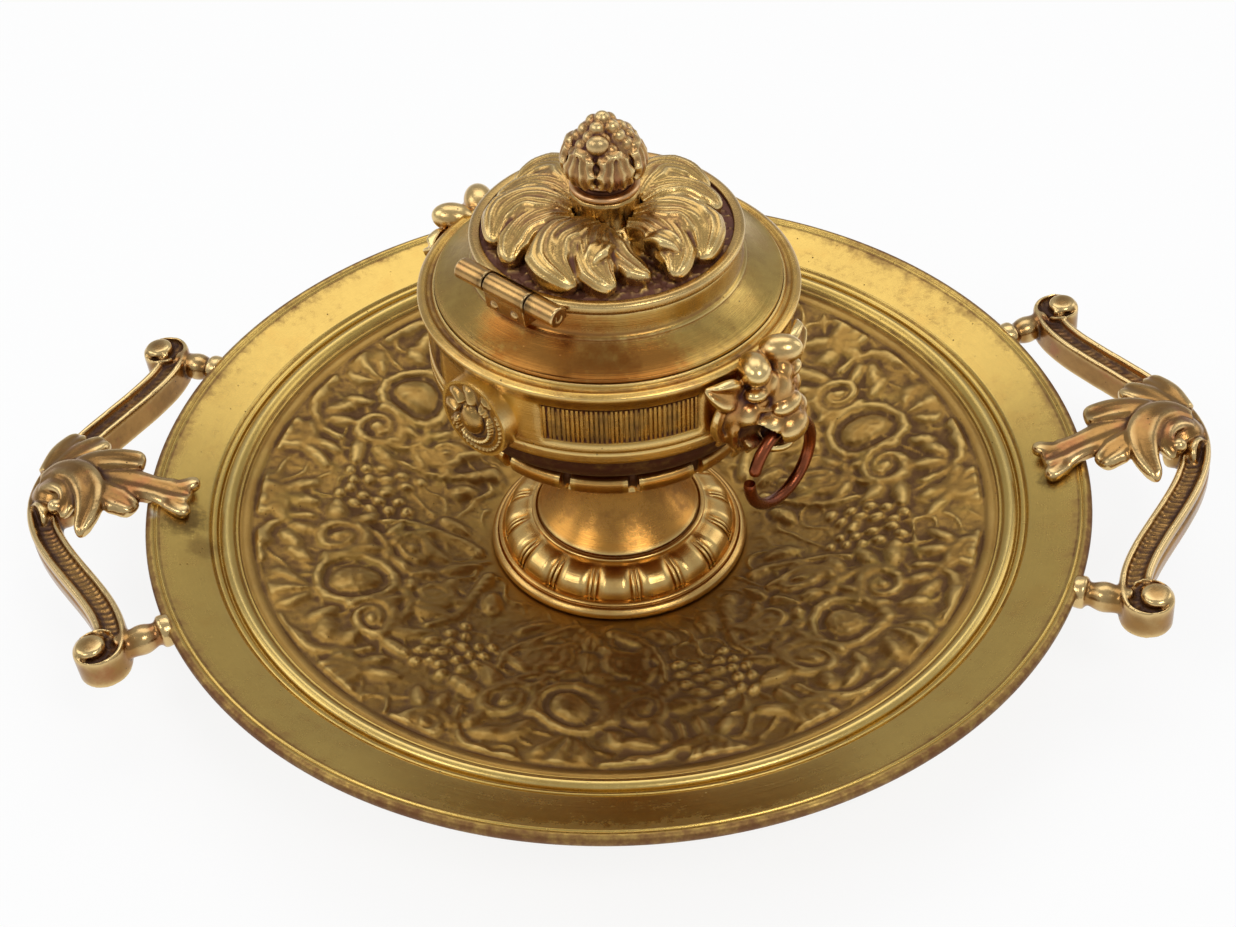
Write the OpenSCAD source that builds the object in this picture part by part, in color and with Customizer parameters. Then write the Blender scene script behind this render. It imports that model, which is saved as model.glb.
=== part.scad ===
// Round desk inkstand: a dished tray with two scroll handles, and a lidded urn
// on a foot that holds a glass liner. Millimetres, Z up, base centre at the origin.
// The handles lie along X. Azimuths are counted from the front (-Y) towards +X.

/* [Tray] */
// Radius of the tray at the top edge of its lip
tray_r = 110; // [108:0.5:125]
// Height of the lip's top edge above the table
rim_h = 28; // [26:0.5:34]
// Thickness of the rounded lip
lip_t = 3.2; // [2.8:0.1:4]
// Wall of the cast tray
tray_wall = 2.6; // [2.2:0.1:3]
// Radial width of the sloping flange
flange_w = 12.6; // [10:0.2:13]
// Fall of the flange from the lip to its inner edge
flange_drop = 4.2; // [3.6:0.1:5]
// Radial width of the moulding between flange and relief field
moulding_w = 6.8; // [6.6:0.1:8]
// Fall from the flange's inner edge to the edge of the relief field
moulding_drop = 2.8; // [2.4:0.1:3.2]
// Height of the flat seat in the middle of the tray above the table
seat_h = 6.7; // [6.4:0.1:8]
// Outer radius of the foot ring under the tray
foot_ring_r = 52; // [44:1:60]
// Radial width of the foot ring
foot_ring_w = 4; // [3:0.5:6]

/* [Relief of the field] */
// Times that the relief's motifs repeat round the field
relief_count = 6; // [5:1:6]
// Azimuth of the first repeat's middle
relief_turn = -10; // [-30:1:30]
// Height of the boldest bosses over the field
relief_h = 1.6; // [1:0.1:1.8]
// Half width of the straps that curl round the bosses
strap_w = 1.2; // [0.9:0.1:1.4]

/* [Handles] */
// Length of each neck from the lip to the scroll's centre
neck_len = 14.8; // [13:0.2:16]
// Radius of the necks
neck_r = 3.3; // [2.8:0.1:3.6]
// Angle between the middle of a handle and each of its necks
neck_angle = 24.4; // [22:0.2:27]
// Width of the handle's arms, seen from above
arm_w = 7; // [5:0.2:8]
// Height of the handle's arms
arm_h = 7.6; // [6.8:0.2:9]
// Share of the scroll's distance at which an arm's curve leaves the apex
bend_out = 0.38; // [0.34:0.01:0.42]
// Share of the scroll's distance at which the curve turns into the scroll
bend_in = 0.69; // [0.64:0.01:0.74]
// Reach of the handle beyond the lip
handle_reach = 29.4; // [27:0.2:33]
// Outer radius of the scrolls at the arms' ends
scroll_r = 5.9; // [5:0.1:6.4]
// Radius of the raised eye on each scroll
eye_r = 3.3; // [2:0.1:3.6]
// Height of the eye above the arm
eye_h = 2.6; // [1:0.1:3]
// Half width of the leaf where it crosses the lip
leaf_w = 6.2; // [5:0.2:7]
// Radius of the rolled end at the top of each front arm
curl_r = 4; // [3:0.2:4.6]
// Droop of the left handle, which is bent a little by use
left_droop = 4; // [0:0.5:5]
// Rise of the right handle
right_rise = 4; // [0:0.5:5]
// Radius of the pin that holds each neck to the lip
tenon_r = 0.8; // [0.6:0.05:0.9]

/* [Pedestal] */
// Radius of the foot
foot_r = 31; // [29:0.5:33]
// Height of the foot up to the crest of its gadroons
foot_h = 9.6; // [9:0.1:11]
// Number of gadroons round the foot
gadroon_count = 16; // [12:1:20]
// Radius of the stem's flare where it meets the foot
flare_r = 19.1; // [18:0.1:19.8]
// Radius of the stem at its waist
waist_r = 7.6; // [6:0.2:9]
// Height of the whole pedestal
pedestal_h = 35.3; // [32:0.5:40]

/* [Notched collar] */
// Radius of the notched band
collar_r = 34.4; // [32:0.2:36]
// Height of the notched band
band_h = 4.6; // [4:0.1:6]
// Depth of the dished underside below the band
dish_h = 6.7; // [5:0.1:9]
// Number of notches
notch_count = 14; // [8:1:20]
// Width of a notch
notch_w = 1.7; // [1.2:0.1:2.2]
// Depth of a notch
notch_d = 2.4; // [1.5:0.1:3]

/* [Bowl] */
// Radius of the bowl's upright side
bowl_r = 41; // [40:0.2:44]
// Height of the bowl up to the cover's seat
bowl_h = 30.7; // [29.5:0.1:33]
// Overhang of the bowl's rim
rim_over = 1.3; // [0.8:0.1:2]
// Wall of the bowl
bowl_wall = 3; // [2.6:0.1:3.2]
// Height of the sunk frieze panels
panel_h = 9.4; // [8:0.1:10]
// Depth of the sunk frieze panels
panel_d = 0.6; // [0.4:0.1:0.8]
// Width of a panel round the bowl, in degrees
panel_span = 49; // [40:1:52]
// Azimuth of the hinge and of the front rosette
hinge_az = -43; // [-60:1:-30]

/* [Cover] */
// Inset of the polished cover's edge from the bowl's upright side
cover_inset = 2.6; // [2.4:0.1:2.8]
// Height of the cover from its seat to the top of the neck
cover_h = 10.95; // [10.5:0.05:12]
// Width from the bowl's upright side to the lid's edge
shoulder_w = 11.1; // [10.5:0.1:13]
// Wall of the neck that the lid shuts on
neck_wall = 2.5; // [2.2:0.1:2.8]
// Width of the ledge that the liner's flange hangs on
ledge_w = 1.8; // [1.5:0.1:2.2]
// Depth of the ledge below the top of the neck
ledge_d = 2.65; // [2.4:0.05:3]
// Depth of the spigot that centres the cover in the bowl
spigot_h = 4.5; // [3:0.5:6]

/* [Liner] */
// Depth of the glass liner below its flange
liner_depth = 29; // [24:0.5:29.5]
// Wall of the liner
liner_wall = 2.3; // [1.8:0.1:3]
// Thickness of the liner's flange
liner_flange_t = 1.5; // [1.2:0.1:1.6]

/* [Lid] */
// Overhang of the lid over the neck
lid_over = 0.6; // [0.5:0.1:0.9]
// Thickness of the lid at its rim
lid_t = 2.5; // [2.2:0.1:2.8]
// Width of the flat rim of the lid
lid_rim_w = 2.4; // [2:0.1:3]
// Number of leaves on the lid
leaf_count = 6; // [5:1:8]
// Radius of the lid's boss
boss_r = 7.8; // [7:0.1:8.4]
// Height of the boss above the lid's underside
boss_h = 12; // [11:0.1:14]

/* [Hinge] */
// Distance of the hinge's axis outside the lid's edge
hinge_out = 0.6; // [0.4:0.1:0.9]
// Height of the hinge's axis above the lid's underside
hinge_up = 1.5; // [1.3:0.1:1.7]
// Radius of the knuckles
knuckle_r = 2.3; // [2.1:0.05:2.35]
// Length of the barrel
barrel_len = 28; // [24:0.5:30]
// Length of the middle knuckle
mid_len = 11.6; // [9:0.2:12]
// Radius of the hinge pin
pin_r = 0.9; // [0.7:0.05:1]

/* [Finial] */
// Radius of the turned collar under the finial
finial_collar_r = 7.6; // [7:0.1:8.2]
// Height of that collar
finial_collar_h = 2.9; // [2.4:0.1:3.6]
// Radius of the finial's leaf cup
cup_r = 8.6; // [8:0.1:9.2]
// Height of the finial
finial_h = 15.6; // [15:0.1:18]
// Radius of one fruit of the finial
fruit_r = 2.5; // [2.1:0.1:2.8]
// Radius of the stud that holds the finial
stud_r = 1.5; // [1.2:0.1:1.8]

/* [Masks and rosettes] */
// Height of the middle of a mask above the bowl's foot
mask_up = 17.7; // [17:0.1:19]
// Half width of a mask's face
mask_r = 11.5; // [10.5:0.1:12]
// Half width of the muzzle, which the ring passes through
muzzle_half = 5; // [4.6:0.1:5.4]
// Distance of the ring's axis from the side of the bowl
ring_out = 8; // [7.6:0.1:9]
// Middle radius of a ring
ring_r = 10; // [9.4:0.1:11]
// Radius of a ring's wire
wire_r = 1.4; // [1.2:0.05:1.5]
// Radius of a rosette
rosette_r = 9.2; // [8.6:0.1:9.4]
// Rise of a rosette from the side of the bowl
rosette_h = 5; // [4:0.1:6]
// Number of petals
petal_count = 8; // [6:1:10]
// Radius of the screws that hold masks and rosettes
screw_r = 1.2; // [1:0.05:1.4]

/* [Tie rod] */
// Radius of the rod that holds bowl, pedestal and tray together
rod_r = 2.4; // [2:0.1:2.8]
// Thickness of the washer under the tray
washer_t = 0.8; // [0.6:0.1:0.9]
// Thickness of the nut under the washer
nut_t = 2.2; // [1.8:0.1:2.3]

/* [Clearances] */
// Gap between curved faces that are seated on each other
seat_gap = 0.05; // [0.03:0.01:0.08]
// Radial clearance of the hinge pin in the middle knuckle
run_gap = 0.05; // [0.03:0.01:0.08]
// Gap between faces that pass each other when something moves
move_gap = 0.3; // [0.25:0.05:0.4]
// Radial clearance of rods and screws in their holes
hole_gap = 0.1; // [0.06:0.02:0.14]

/* [Hidden] */
$fn = 72;
hull_fn = 16;

brass = [0.66, 0.55, 0.27];
pale_brass = [0.78, 0.68, 0.38];
dark_brass = [0.45, 0.34, 0.16];
copper = [0.62, 0.34, 0.22];
glass = [0.8, 0.88, 0.9, 0.4];

// Tray levels
flange_r = tray_r - flange_w;
flange_z = rim_h - flange_drop;
field_r = flange_r - moulding_w;
field_z = flange_z - moulding_drop;
seat_r = foot_r + 0.5;
field_slope = (field_z - seat_h) / (field_r - seat_r);
under_z = seat_h - tray_wall;
lip_out_r = tray_r + lip_t / 2;

// Relief forms, as shares: azimuth of half a repeat, height of relief_h, the rest of the field's width
relief_root = 1;
half_repeat = 180 / relief_count;
field_w = field_r - seat_r;
// [azimuth, radius, half width, half length, height]
relief_bosses = [[0, 0.592, 0.078, 0.105, 1], [0, 0.863, 0.122, 0.098, 0.9], [0, 0.313, 0.056, 0.066, 0.8],
    [0, 0.169, 0.038, 0.078, 0.7], [0.86, 0.45, 0.06, 0.08, 0.7]];
// [azimuth, radius, middle radius]
relief_curls = [[0.43, 0.613, 0.105], [0.36, 0.303, 0.075], [0.67, 0.87, 0.08]];

// Radii that step inwards from the bowl's side
cover_r = bowl_r - cover_inset;
lid_r = bowl_r - shoulder_w;
neck_out_r = lid_r - lid_over;
neck_bore_r = neck_out_r - neck_wall;
liner_bore_r = neck_bore_r - ledge_w;
hinge_r = lid_r + hinge_out;

// Levels of the urn
collar_z = seat_h + pedestal_h;
band_z = collar_z + dish_h;
bowl_z = band_z + band_h;
cover_z = bowl_z + bowl_h;
lid_z = cover_z + cover_h + 0.05;
boss_z = lid_z + boss_h;
finial_z = boss_z + finial_collar_h;
hub_r = waist_r + 3;
through_h = 2 * boss_z;
stem_floor_z = seat_h + foot_h - 3.6;

// Bowl levels
floor_t = 4.7;
bowl_in_r = bowl_r - bowl_wall;
drum_z = bowl_z + 10.9;
panel_z = drum_z + 5.1;
shoulder_z = panel_z + panel_h + 0.4;
lip_z = cover_z - 1.3;

// Cover and liner levels
cover_edge_t = 0.8;
neck_foot_z = cover_z + 5.4;
ledge_z = cover_z + cover_h - ledge_d;
spigot_r = bowl_in_r - 0.4;
liner_r = liner_bore_r - 0.5;
liner_flange_r = neck_bore_r - move_gap;
liner_z = ledge_z - liner_depth;

// Hinge
hinge_z = lid_z + hinge_up;
chord_r = hinge_r - knuckle_r - move_gap;
side_len = (barrel_len - mid_len) / 2 - move_gap;

// Masks and rings
mask_z = bowl_z + mask_up;
ring_axis_r = bowl_r + ring_out;
ring_axis_z = mask_z - 4.5;
swing_r = wire_r + ring_r - sqrt(ring_r * ring_r - muzzle_half * muzzle_half);
mask_azimuths = [hinge_az + 90, hinge_az - 90];
rosette_azimuths = [hinge_az, hinge_az + 180];
screw_head_t = 1.2;
screw_in = 3.2;

// Handles
lip_mid_z = rim_h - lip_t / 2;
handle_z = rim_h - 0.1 - arm_h / 2 + 0.4;
scroll_c = lip_out_r + neck_len;
scroll_x = scroll_c * cos(neck_angle);
scroll_y = scroll_c * sin(neck_angle);
apex_x = lip_out_r + handle_reach;
tilt_x = lip_out_r * cos(neck_angle);
tenon_z = lip_mid_z - 0.5;
tenon_in = 3;

// Points of an arc about c, from angle a0 to a1, in n steps
function arc(c, r, a0, a1, n) =
    [for (i = [0:n]) let (a = a0 + (a1 - a0) * i / n) [c[0] + r * cos(a), c[1] + r * sin(a)]];

// Height of the tray's upper face over the relief field
function field_at(r) = seat_h + (r - seat_r) * field_slope;

// Radius of the stem at a share u of its height above the foot
function stem_at(u) = waist_r + (flare_r - waist_r) * pow(1 - u, 2.6) + (hub_r - waist_r) * pow(u, 3);

// Turns a shape that faces the front to azimuth a
module at_azimuth(a) {
    rotate([0, 0, a])
    children();
}

// Lays a shape's Z axis along the outward radius at the front, at height z and radius r
module on_side(r, z) {
    translate([0, -r, z])
    rotate([90, 0, 0])
    children();
}

// Outline of the tray's upper face, from the field outwards to the lip
function tray_top() = concat(
    [[seat_r, seat_h], [field_r, field_z]],
    [[field_r + 0.3, field_z + 1.2]],
    arc([field_r + 1, field_z + 1.4], 0.7, 160, 20, 4),
    [[field_r + 1.9, field_z + 0.7]],
    arc([field_r + 3.4, field_z + 0.5], 1.3, 170, 10, 6),
    [[flange_r - 1.5, field_z + 0.9], [flange_r - 0.9, flange_z - 0.9],
     [flange_r, flange_z], [tray_r, rim_h]]);

// Section of the tray, with the foot ring cast under it
module tray_section() {
    ring_in = foot_ring_r - foot_ring_w;
    polygon(concat(
        [[rod_r + hole_gap, under_z], [rod_r + hole_gap, seat_h]],
        tray_top(),
        arc([tray_r, lip_mid_z], lip_t / 2, 75, -90, 8),
        [[flange_r + 2, flange_z - tray_wall + 0.6],
         [field_r, field_z - tray_wall],
         [foot_ring_r, field_at(foot_ring_r) - tray_wall],
         [foot_ring_r, 0.6], [foot_ring_r - 0.6, 0], [ring_in + 0.6, 0], [ring_in, 0.6],
         [ring_in, field_at(ring_in) - tray_wall],
         [seat_r, under_z]]));
}

// Places a relief form at share a of half a repeat and share r of the field's width, level with the field
module on_field(i, a, r) {
    at_azimuth(relief_turn + (2 * i + a) * half_repeat)
    translate([0, -(seat_r + r * field_w), field_at(seat_r + r * field_w)])
    rotate([-atan(field_slope), 0, 0])
    translate([0, 0, -relief_root])
    children();
}

// Oval with half sizes x and y
module oval(x, y) {
    sides = 12;
    polygon([for (i = [1:sides]) [x * cos(i * 360 / sides), y * sin(i * 360 / sides)]]);
}

// Stepped boss of the relief
module relief_boss(x, y, h) {
    linear_extrude(height = relief_root + h / 2)
    oval(x, y);
    linear_extrude(height = relief_root + h)
    oval(x * 0.7, y * 0.7);
}

// Strap of the relief, curled to a ring of middle radius r
module relief_curl(r) {
    rotate_extrude()
    polygon([[r - strap_w, 0], [r - strap_w, relief_root + relief_h * 0.3],
             [r - strap_w / 2, relief_root + relief_h * 0.65], [r + strap_w / 2, relief_root + relief_h * 0.65],
             [r + strap_w, relief_root + relief_h * 0.3], [r + strap_w, 0]]);
}

// Main forms of the cast relief, in their repeats
module field_relief() {
    for (i = [0:relief_count - 1]) {
        for (b = relief_bosses)
            on_field(i, b[0], b[1]) relief_boss(b[2] * field_w, b[3] * field_w, b[4] * relief_h);
        for (c = relief_curls, m = [-1, 1])
            on_field(i, m * c[0], c[1]) relief_curl(c[2] * field_w);
    }
}

module tray() {
    color(brass)
    difference() {
        union() {
            rotate_extrude() tray_section();
            field_relief();
        }
        tenon_pins(hole_gap, hole_gap);
    }
}

// The four pins through the lip into the handles' necks
module tenon_pins(extra_r, extra_len) {
    for (side = [0, 180])
        for (a = [-neck_angle, neck_angle])
            rotate([0, 0, side + a])
            translate([lip_out_r - tenon_in - extra_len, 0, tenon_z])
            rotate([0, 90, 0])
            cylinder(r = tenon_r + extra_r, h = 2 * tenon_in + 2 * extra_len, $fn = 24);
}

module handle_tenons() {
    color(dark_brass)
    tenon_pins(0, 0);
}

// Space that the tray takes, with the seating gap, for cutting the handles
module tray_envelope() {
    g = seat_gap;
    rotate_extrude()
    polygon(concat(
        [[field_r, field_z - tray_wall - g], [field_r, flange_z - 1],
         [flange_r, flange_z + g], [tray_r, rim_h + g]],
        arc([tray_r, lip_mid_z], lip_t / 2 + g, 75, -90, 8),
        [[flange_r + 2, flange_z - tray_wall + 0.6 - g]]));
}

// Point at share t of the arm's S-curve in plan, from the apex to the scroll
function arm_point(t) =
    let (x0 = apex_x - arm_w / 2, x1 = scroll_x - scroll_r + arm_w / 2, u = 1 - t)
    [u * u * (u + 3 * t) * x0 + t * t * (3 * u + t) * x1,
     scroll_y * (3 * u * u * t * bend_out + 3 * u * t * t * bend_in + t * t * t)];

// Point beside the curve, at distance d to its outer side
function arm_side(t, d) =
    let (e = 0.01, v = arm_point(min(t + e, 1)) - arm_point(max(t - e, 0)))
    arm_point(t) + d * [v[1], -v[0]] / norm(v);

// Outline of one arm seen from above
module arm_outline() {
    steps = 12;
    polygon(concat(
        [for (i = [0:steps]) arm_side(i / steps, arm_w / 2)],
        [for (i = [steps:-1:0]) arm_side(i / steps, -arm_w / 2)]));
}

// Part of a leaf: from a at half width wa to b at half width wb, with round edges ra and rb
module lobe(a, wa, ra, b, wb, rb) {
    hull()
    for (m = [-1, 1]) {
        translate(a + [0, m * wa, 0]) sphere(r = ra, $fn = hull_fn);
        translate(b + [0, m * wb, 0]) sphere(r = rb, $fn = hull_fn);
    }
}

// A handle on the +X side, level
module level_handle() {
    top = handle_z + arm_h / 2;
    difference() {
        union() {
            for (m = [0, 1])
                mirror([0, m, 0]) {
                    translate([0, 0, top - arm_h])
                    linear_extrude(height = arm_h)
                    arm_outline();
                    translate([scroll_x, scroll_y, top - arm_h])
                    cylinder(r = scroll_r, h = arm_h);
                    translate([scroll_x, scroll_y, top])
                    cylinder(r = eye_r, h = eye_h);
                    rotate([0, 0, neck_angle])
                    translate([lip_out_r - 2, 0, lip_mid_z - 1.2])
                    rotate([0, 90, 0])
                    cylinder(r = neck_r, h = neck_len - scroll_r + 4);
                }
            // Leaf that springs from the apex, spreads into side lobes and lies on the lip
            lobe([apex_x - 6, 0, top], leaf_w * 0.6, 3.4, [tray_r + 2, 0, rim_h + 1.4], leaf_w * 0.5, 2);
            lobe([tray_r + 2, 0, rim_h + 1.4], leaf_w * 0.5, 2,
                 [flange_r + 3.4, 0, flange_z + 2.4], leaf_w * 0.4, 1.4);
            for (m = [-1, 1])
                lobe([apex_x - 9, 3 * m, top - 0.6], 0.5, 3, [tray_r + 5, (leaf_w + 2.2) * m, rim_h - 0.4], 0.5, 1.8);
            // Rolled end of the front arm
            translate([apex_x - curl_r, -curl_r - 1, top - arm_h + 0.5])
            cylinder(r = curl_r, h = arm_h + 1);
        }
        tray_envelope();
    }
}

// Tilts a handle about the line through its necks' inner ends
module tilted_handle(tilt) {
    difference() {
        translate([tilt_x, 0, lip_mid_z])
        rotate([0, tilt, 0])
        translate([-tilt_x, 0, -lip_mid_z])
        level_handle();
        tray_envelope();
        tenon_pins(hole_gap, hole_gap);
    }
}

module handle_right() {
    color(brass)
    tilted_handle(-right_rise);
}

module handle_left() {
    color(brass)
    mirror([1, 0, 0])
    tilted_handle(left_droop);
}

module pedestal_section() {
    z = seat_h;
    stem_z = z + foot_h + 0.7;
    stem_top = collar_z;
    bore = rod_r + hole_gap;
    polygon(concat(
        [[bore, stem_floor_z], [foot_r - 7, stem_floor_z - 4], [foot_r - 6, z],
         [foot_r, z], [foot_r, z + 1], [foot_r - 0.7, z + 2.3]],
        [[foot_r - 1.5, z + 2.7], [foot_r - 2.3, z + 2.4], [foot_r - 2.6, z + 3]],
        arc([foot_r - 7.2, z + 4.6], 4.4, -5, 80, 6),
        [[flare_r + 2.4, z + foot_h], [flare_r + 1, z + foot_h - 0.8],
         [flare_r + 0.4, z + foot_h - 1]],
        [[flare_r, stem_z - 0.5]],
        [for (i = [0:12]) [stem_at(i / 12), stem_z + (stem_top - stem_z) * i / 12]],
        [[bore, stem_top]]));
}

// Groove between two gadroons of the foot
module gadroon_grooves() {
    for (i = [0:gadroon_count - 1])
        rotate([0, 0, (i + 1 / 3) * 360 / gadroon_count])
        translate([0, -(flare_r + 2), seat_h + foot_h + 0.6])
        rotate([90 + 20, 0, 0])
        cylinder(r = 1, h = foot_r - flare_r - 4, $fn = 16);
}

module pedestal() {
    color(brass)
    difference() {
        rotate_extrude() pedestal_section();
        gadroon_grooves();
    }
}

module notched_collar() {
    bore = rod_r + hole_gap;
    color(brass)
    difference() {
        rotate_extrude()
        polygon(concat(
            [[bore, collar_z], [hub_r, collar_z]],
            [for (i = [1:6]) let (a = i * 15)
                [hub_r + (collar_r - 2 - hub_r) * sin(a), band_z - 0.6 - (dish_h - 0.6) * cos(a)]],
            [[collar_r - 1, band_z], [collar_r - 0.3, band_z + 0.5], [collar_r, band_z + band_h * 0.5],
             [collar_r - 0.2, bowl_z - 0.7], [collar_r - 1, bowl_z],
             [bore, bowl_z]]));
        for (i = [0:notch_count - 1])
            at_azimuth(6 + i * 360 / notch_count)
            translate([-notch_w / 2, -collar_r - 1, band_z - 1])
            cube([notch_w, notch_d + 1, band_h + 2]);
    }
}

module bowl_section() {
    polygon(concat(
        [[rod_r + hole_gap, bowl_z], [collar_r - 4, bowl_z], [collar_r - 3.6, bowl_z + 1.5]],
        [for (i = [1:5]) let (a = i * 18)
            [collar_r - 3.6 + (bowl_r - collar_r + 2.4) * sin(a), drum_z - 0.9 - 8.5 * cos(a)]],
        [[bowl_r - 0.2, drum_z], [bowl_r, drum_z + 0.6], [bowl_r, shoulder_z],
         [bowl_r + 0.3, shoulder_z + 1], [bowl_r + rim_over, lip_z - 0.7],
         [bowl_r + rim_over, lip_z + 0.1], [bowl_r + rim_over - 0.9, lip_z + 0.8],
         [cover_r + 1.9, lip_z + 0.5], [cover_r + 0.35, cover_z], [bowl_in_r, cover_z],
         [bowl_in_r, drum_z + 2], [collar_r - 7, bowl_z + floor_t],
         [rod_r + hole_gap, bowl_z + floor_t]]));
}

// Sunk panel of the frieze, centred on the front
module frieze_panel() {
    rotate([0, 0, -90 - panel_span / 2])
    rotate_extrude(angle = panel_span)
    translate([bowl_r - panel_d, panel_z])
    square([panel_d + 1, panel_h]);
}

module bowl() {
    color(brass)
    difference() {
        rotate_extrude() bowl_section();
        for (i = [0:3])
            at_azimuth(hinge_az + 45 + 90 * i)
            frieze_panel();
        side_screws(mask_azimuths, hole_gap);
        side_screws(rosette_azimuths, hole_gap);
    }
}

// Screws from inside the bowl into a mask or a rosette
module side_screws(azimuths, extra) {
    for (a = azimuths)
        at_azimuth(a)
        on_side(bowl_in_r - 1, mask_z)
        cylinder(r = screw_r + extra, h = bowl_wall + 1 + screw_in + extra, $fn = 32);
}

module screw_heads(azimuths) {
    for (a = azimuths)
        at_azimuth(a)
        on_side(bowl_in_r - 0.1 - screw_head_t, mask_z)
        cylinder(r = 2 * screw_r, h = screw_head_t, $fn = 32);
}

module mask_screws() {
    color(dark_brass) {
        side_screws(mask_azimuths, 0);
        screw_heads(mask_azimuths);
    }
}

module rosette_screws() {
    color(dark_brass) {
        side_screws(rosette_azimuths, 0);
        screw_heads(rosette_azimuths);
    }
}

module bowl_cover() {
    top = cover_z + cover_h;
    color(pale_brass)
    difference() {
        rotate_extrude()
        polygon(concat(
            [[spigot_r - 2, cover_z - spigot_h], [spigot_r, cover_z - spigot_h], [spigot_r, cover_z],
             [cover_r, cover_z], [cover_r, cover_z + cover_edge_t - 0.2],
             [cover_r - 0.3, cover_z + cover_edge_t]],
            [for (i = [1:4]) let (u = i / 4)
                [cover_r - 0.3 - (cover_r - neck_out_r - 1.5) * u,
                 cover_z + cover_edge_t + (neck_foot_z - 0.6 - cover_z - cover_edge_t) * pow(u, 1.2)]],
            arc([neck_out_r + 1.6, neck_foot_z + 1.2], 1.6, 240, 180, 4),
            [[neck_out_r, top - 0.4], [neck_out_r - 0.4, top],
             [neck_bore_r, top], [neck_bore_r, ledge_z],
             [liner_bore_r, ledge_z], [liner_bore_r, ledge_z - 2.6], [spigot_r - 2, cover_z - 1.2]]));
        at_azimuth(hinge_az) rivets(hole_gap);
    }
}

module ink_liner() {
    in_r = liner_r - liner_wall;
    color(glass)
    rotate_extrude()
    polygon(concat(
        [[0, liner_z]],
        arc([liner_r - 3, liner_z + 3], 3, -90, 0, 5),
        [[liner_r, ledge_z], [liner_flange_r, ledge_z],
         [liner_flange_r, ledge_z + liner_flange_t],
         [in_r, ledge_z + liner_flange_t], [in_r, liner_z + 5.5]],
        arc([in_r - 2, liner_z + 5.5], 2, -10, -90, 4),
        [[0, liner_z + 3.5]]));
}

// Flat-topped space that the barrel and the middle knuckle's leaf take in the lid's edge
module lid_notch() {
    w = barrel_len + 2 * move_gap;
    translate([-w / 2, -chord_r - 10, lid_z - 3])
    cube([w, 10, lid_t + 6]);
}

module lid() {
    ground_z = lid_z + lid_t - 1;
    in_r = lid_r - lid_rim_w;
    spigot = neck_bore_r - 2 * move_gap;
    stud = stud_r + hole_gap;
    leaf_mid = (in_r + boss_r) / 2;
    leaf_r = leaf_mid * sin(180 / leaf_count) - 0.15;
    color(brass)
    difference() {
        union() {
            rotate_extrude()
            polygon([[0, lid_z + 0.9], [spigot - 2, lid_z + 0.3], [spigot - 1.6, lid_z - 0.6],
                     [spigot, lid_z - 0.6], [spigot, lid_z], [lid_r, lid_z],
                     [lid_r, lid_z + lid_t - 0.6], [lid_r - 0.6, lid_z + lid_t],
                     [in_r + 0.3, lid_z + lid_t], [in_r, ground_z],
                     [boss_r + 1, ground_z + 1.2], [boss_r, ground_z + 2.4],
                     [boss_r, boss_z - 0.3], [boss_r - 0.3, boss_z], [0, boss_z]]);
            // Swelling leaves round the boss
            for (i = [0:leaf_count - 1])
                at_azimuth(-10 + i * 360 / leaf_count)
                translate([0, -leaf_mid, lid_z + 1.3])
                rotate_extrude()
                polygon([[0, 0], [leaf_r, 0], [leaf_r, 1], [leaf_r * 0.93, 2.8],
                         [leaf_r * 0.75, 4.4], [leaf_r * 0.45, 5.6], [0, 6.2]]);
        }
        at_azimuth(hinge_az) lid_notch();
        translate([0, 0, lid_z - 1])
        cylinder(r = stud, h = boss_h + 2);
    }
}

// One knuckle tube along X, centred
module knuckle(len, bore) {
    rotate([0, 90, 0])
    difference() {
        cylinder(r = knuckle_r, h = len, center = true);
        cylinder(r = bore, h = len + 1, center = true);
    }
}

// Middle knuckle with the leaf that is riveted to the cover's neck
module hinge_bracket() {
    leaf_top = lid_z - move_gap;
    leaf_bottom = neck_foot_z + 1.4;
    color(pale_brass)
    at_azimuth(hinge_az)
    difference() {
        union() {
            translate([0, -hinge_r, hinge_z]) knuckle(mid_len, pin_r + run_gap);
            difference() {
                translate([-mid_len / 2, -hinge_r - knuckle_r + 0.5, leaf_bottom])
                cube([mid_len, 6, leaf_top - leaf_bottom]);
                cylinder(r = neck_out_r + seat_gap, h = through_h);
            }
        }
        translate([0, -hinge_r, hinge_z])
        rotate([0, 90, 0])
        cylinder(r = pin_r + run_gap, h = mid_len + 1, center = true);
        rivets(hole_gap);
    }
}

// Two rivets that hold the bracket's leaf to the neck
module rivets(extra) {
    for (x = [-1, 1])
        translate([x * mid_len / 4, -neck_out_r - 1.6, (neck_foot_z + 1.4 + lid_z) / 2 - 0.2])
        rotate([-90, 0, 0])
        cylinder(r = 0.7 + extra, h = 4.2 + extra, $fn = 24);
}

module hinge_rivets() {
    color(dark_brass)
    at_azimuth(hinge_az) rivets(0);
}

// The two outer knuckles, brazed to the flat on the lid's edge
module hinge_knuckles() {
    color(pale_brass)
    at_azimuth(hinge_az)
    for (m = [-1, 1])
        translate([m * (barrel_len - side_len) / 2, -hinge_r, hinge_z]) {
            knuckle(side_len, pin_r + 0.01);
            difference() {
                translate([-side_len / 2, 0, -hinge_up + 0.2])
                cube([side_len, hinge_r - chord_r, lid_t - 0.4]);
                rotate([0, 90, 0])
                cylinder(r = knuckle_r - 0.4, h = side_len + 1, center = true);
            }
        }
}

module hinge_pin() {
    color(dark_brass)
    at_azimuth(hinge_az)
    translate([0, -hinge_r, hinge_z])
    rotate([0, 90, 0])
    cylinder(r = pin_r, h = barrel_len - 0.4, center = true, $fn = 32);
}

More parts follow.
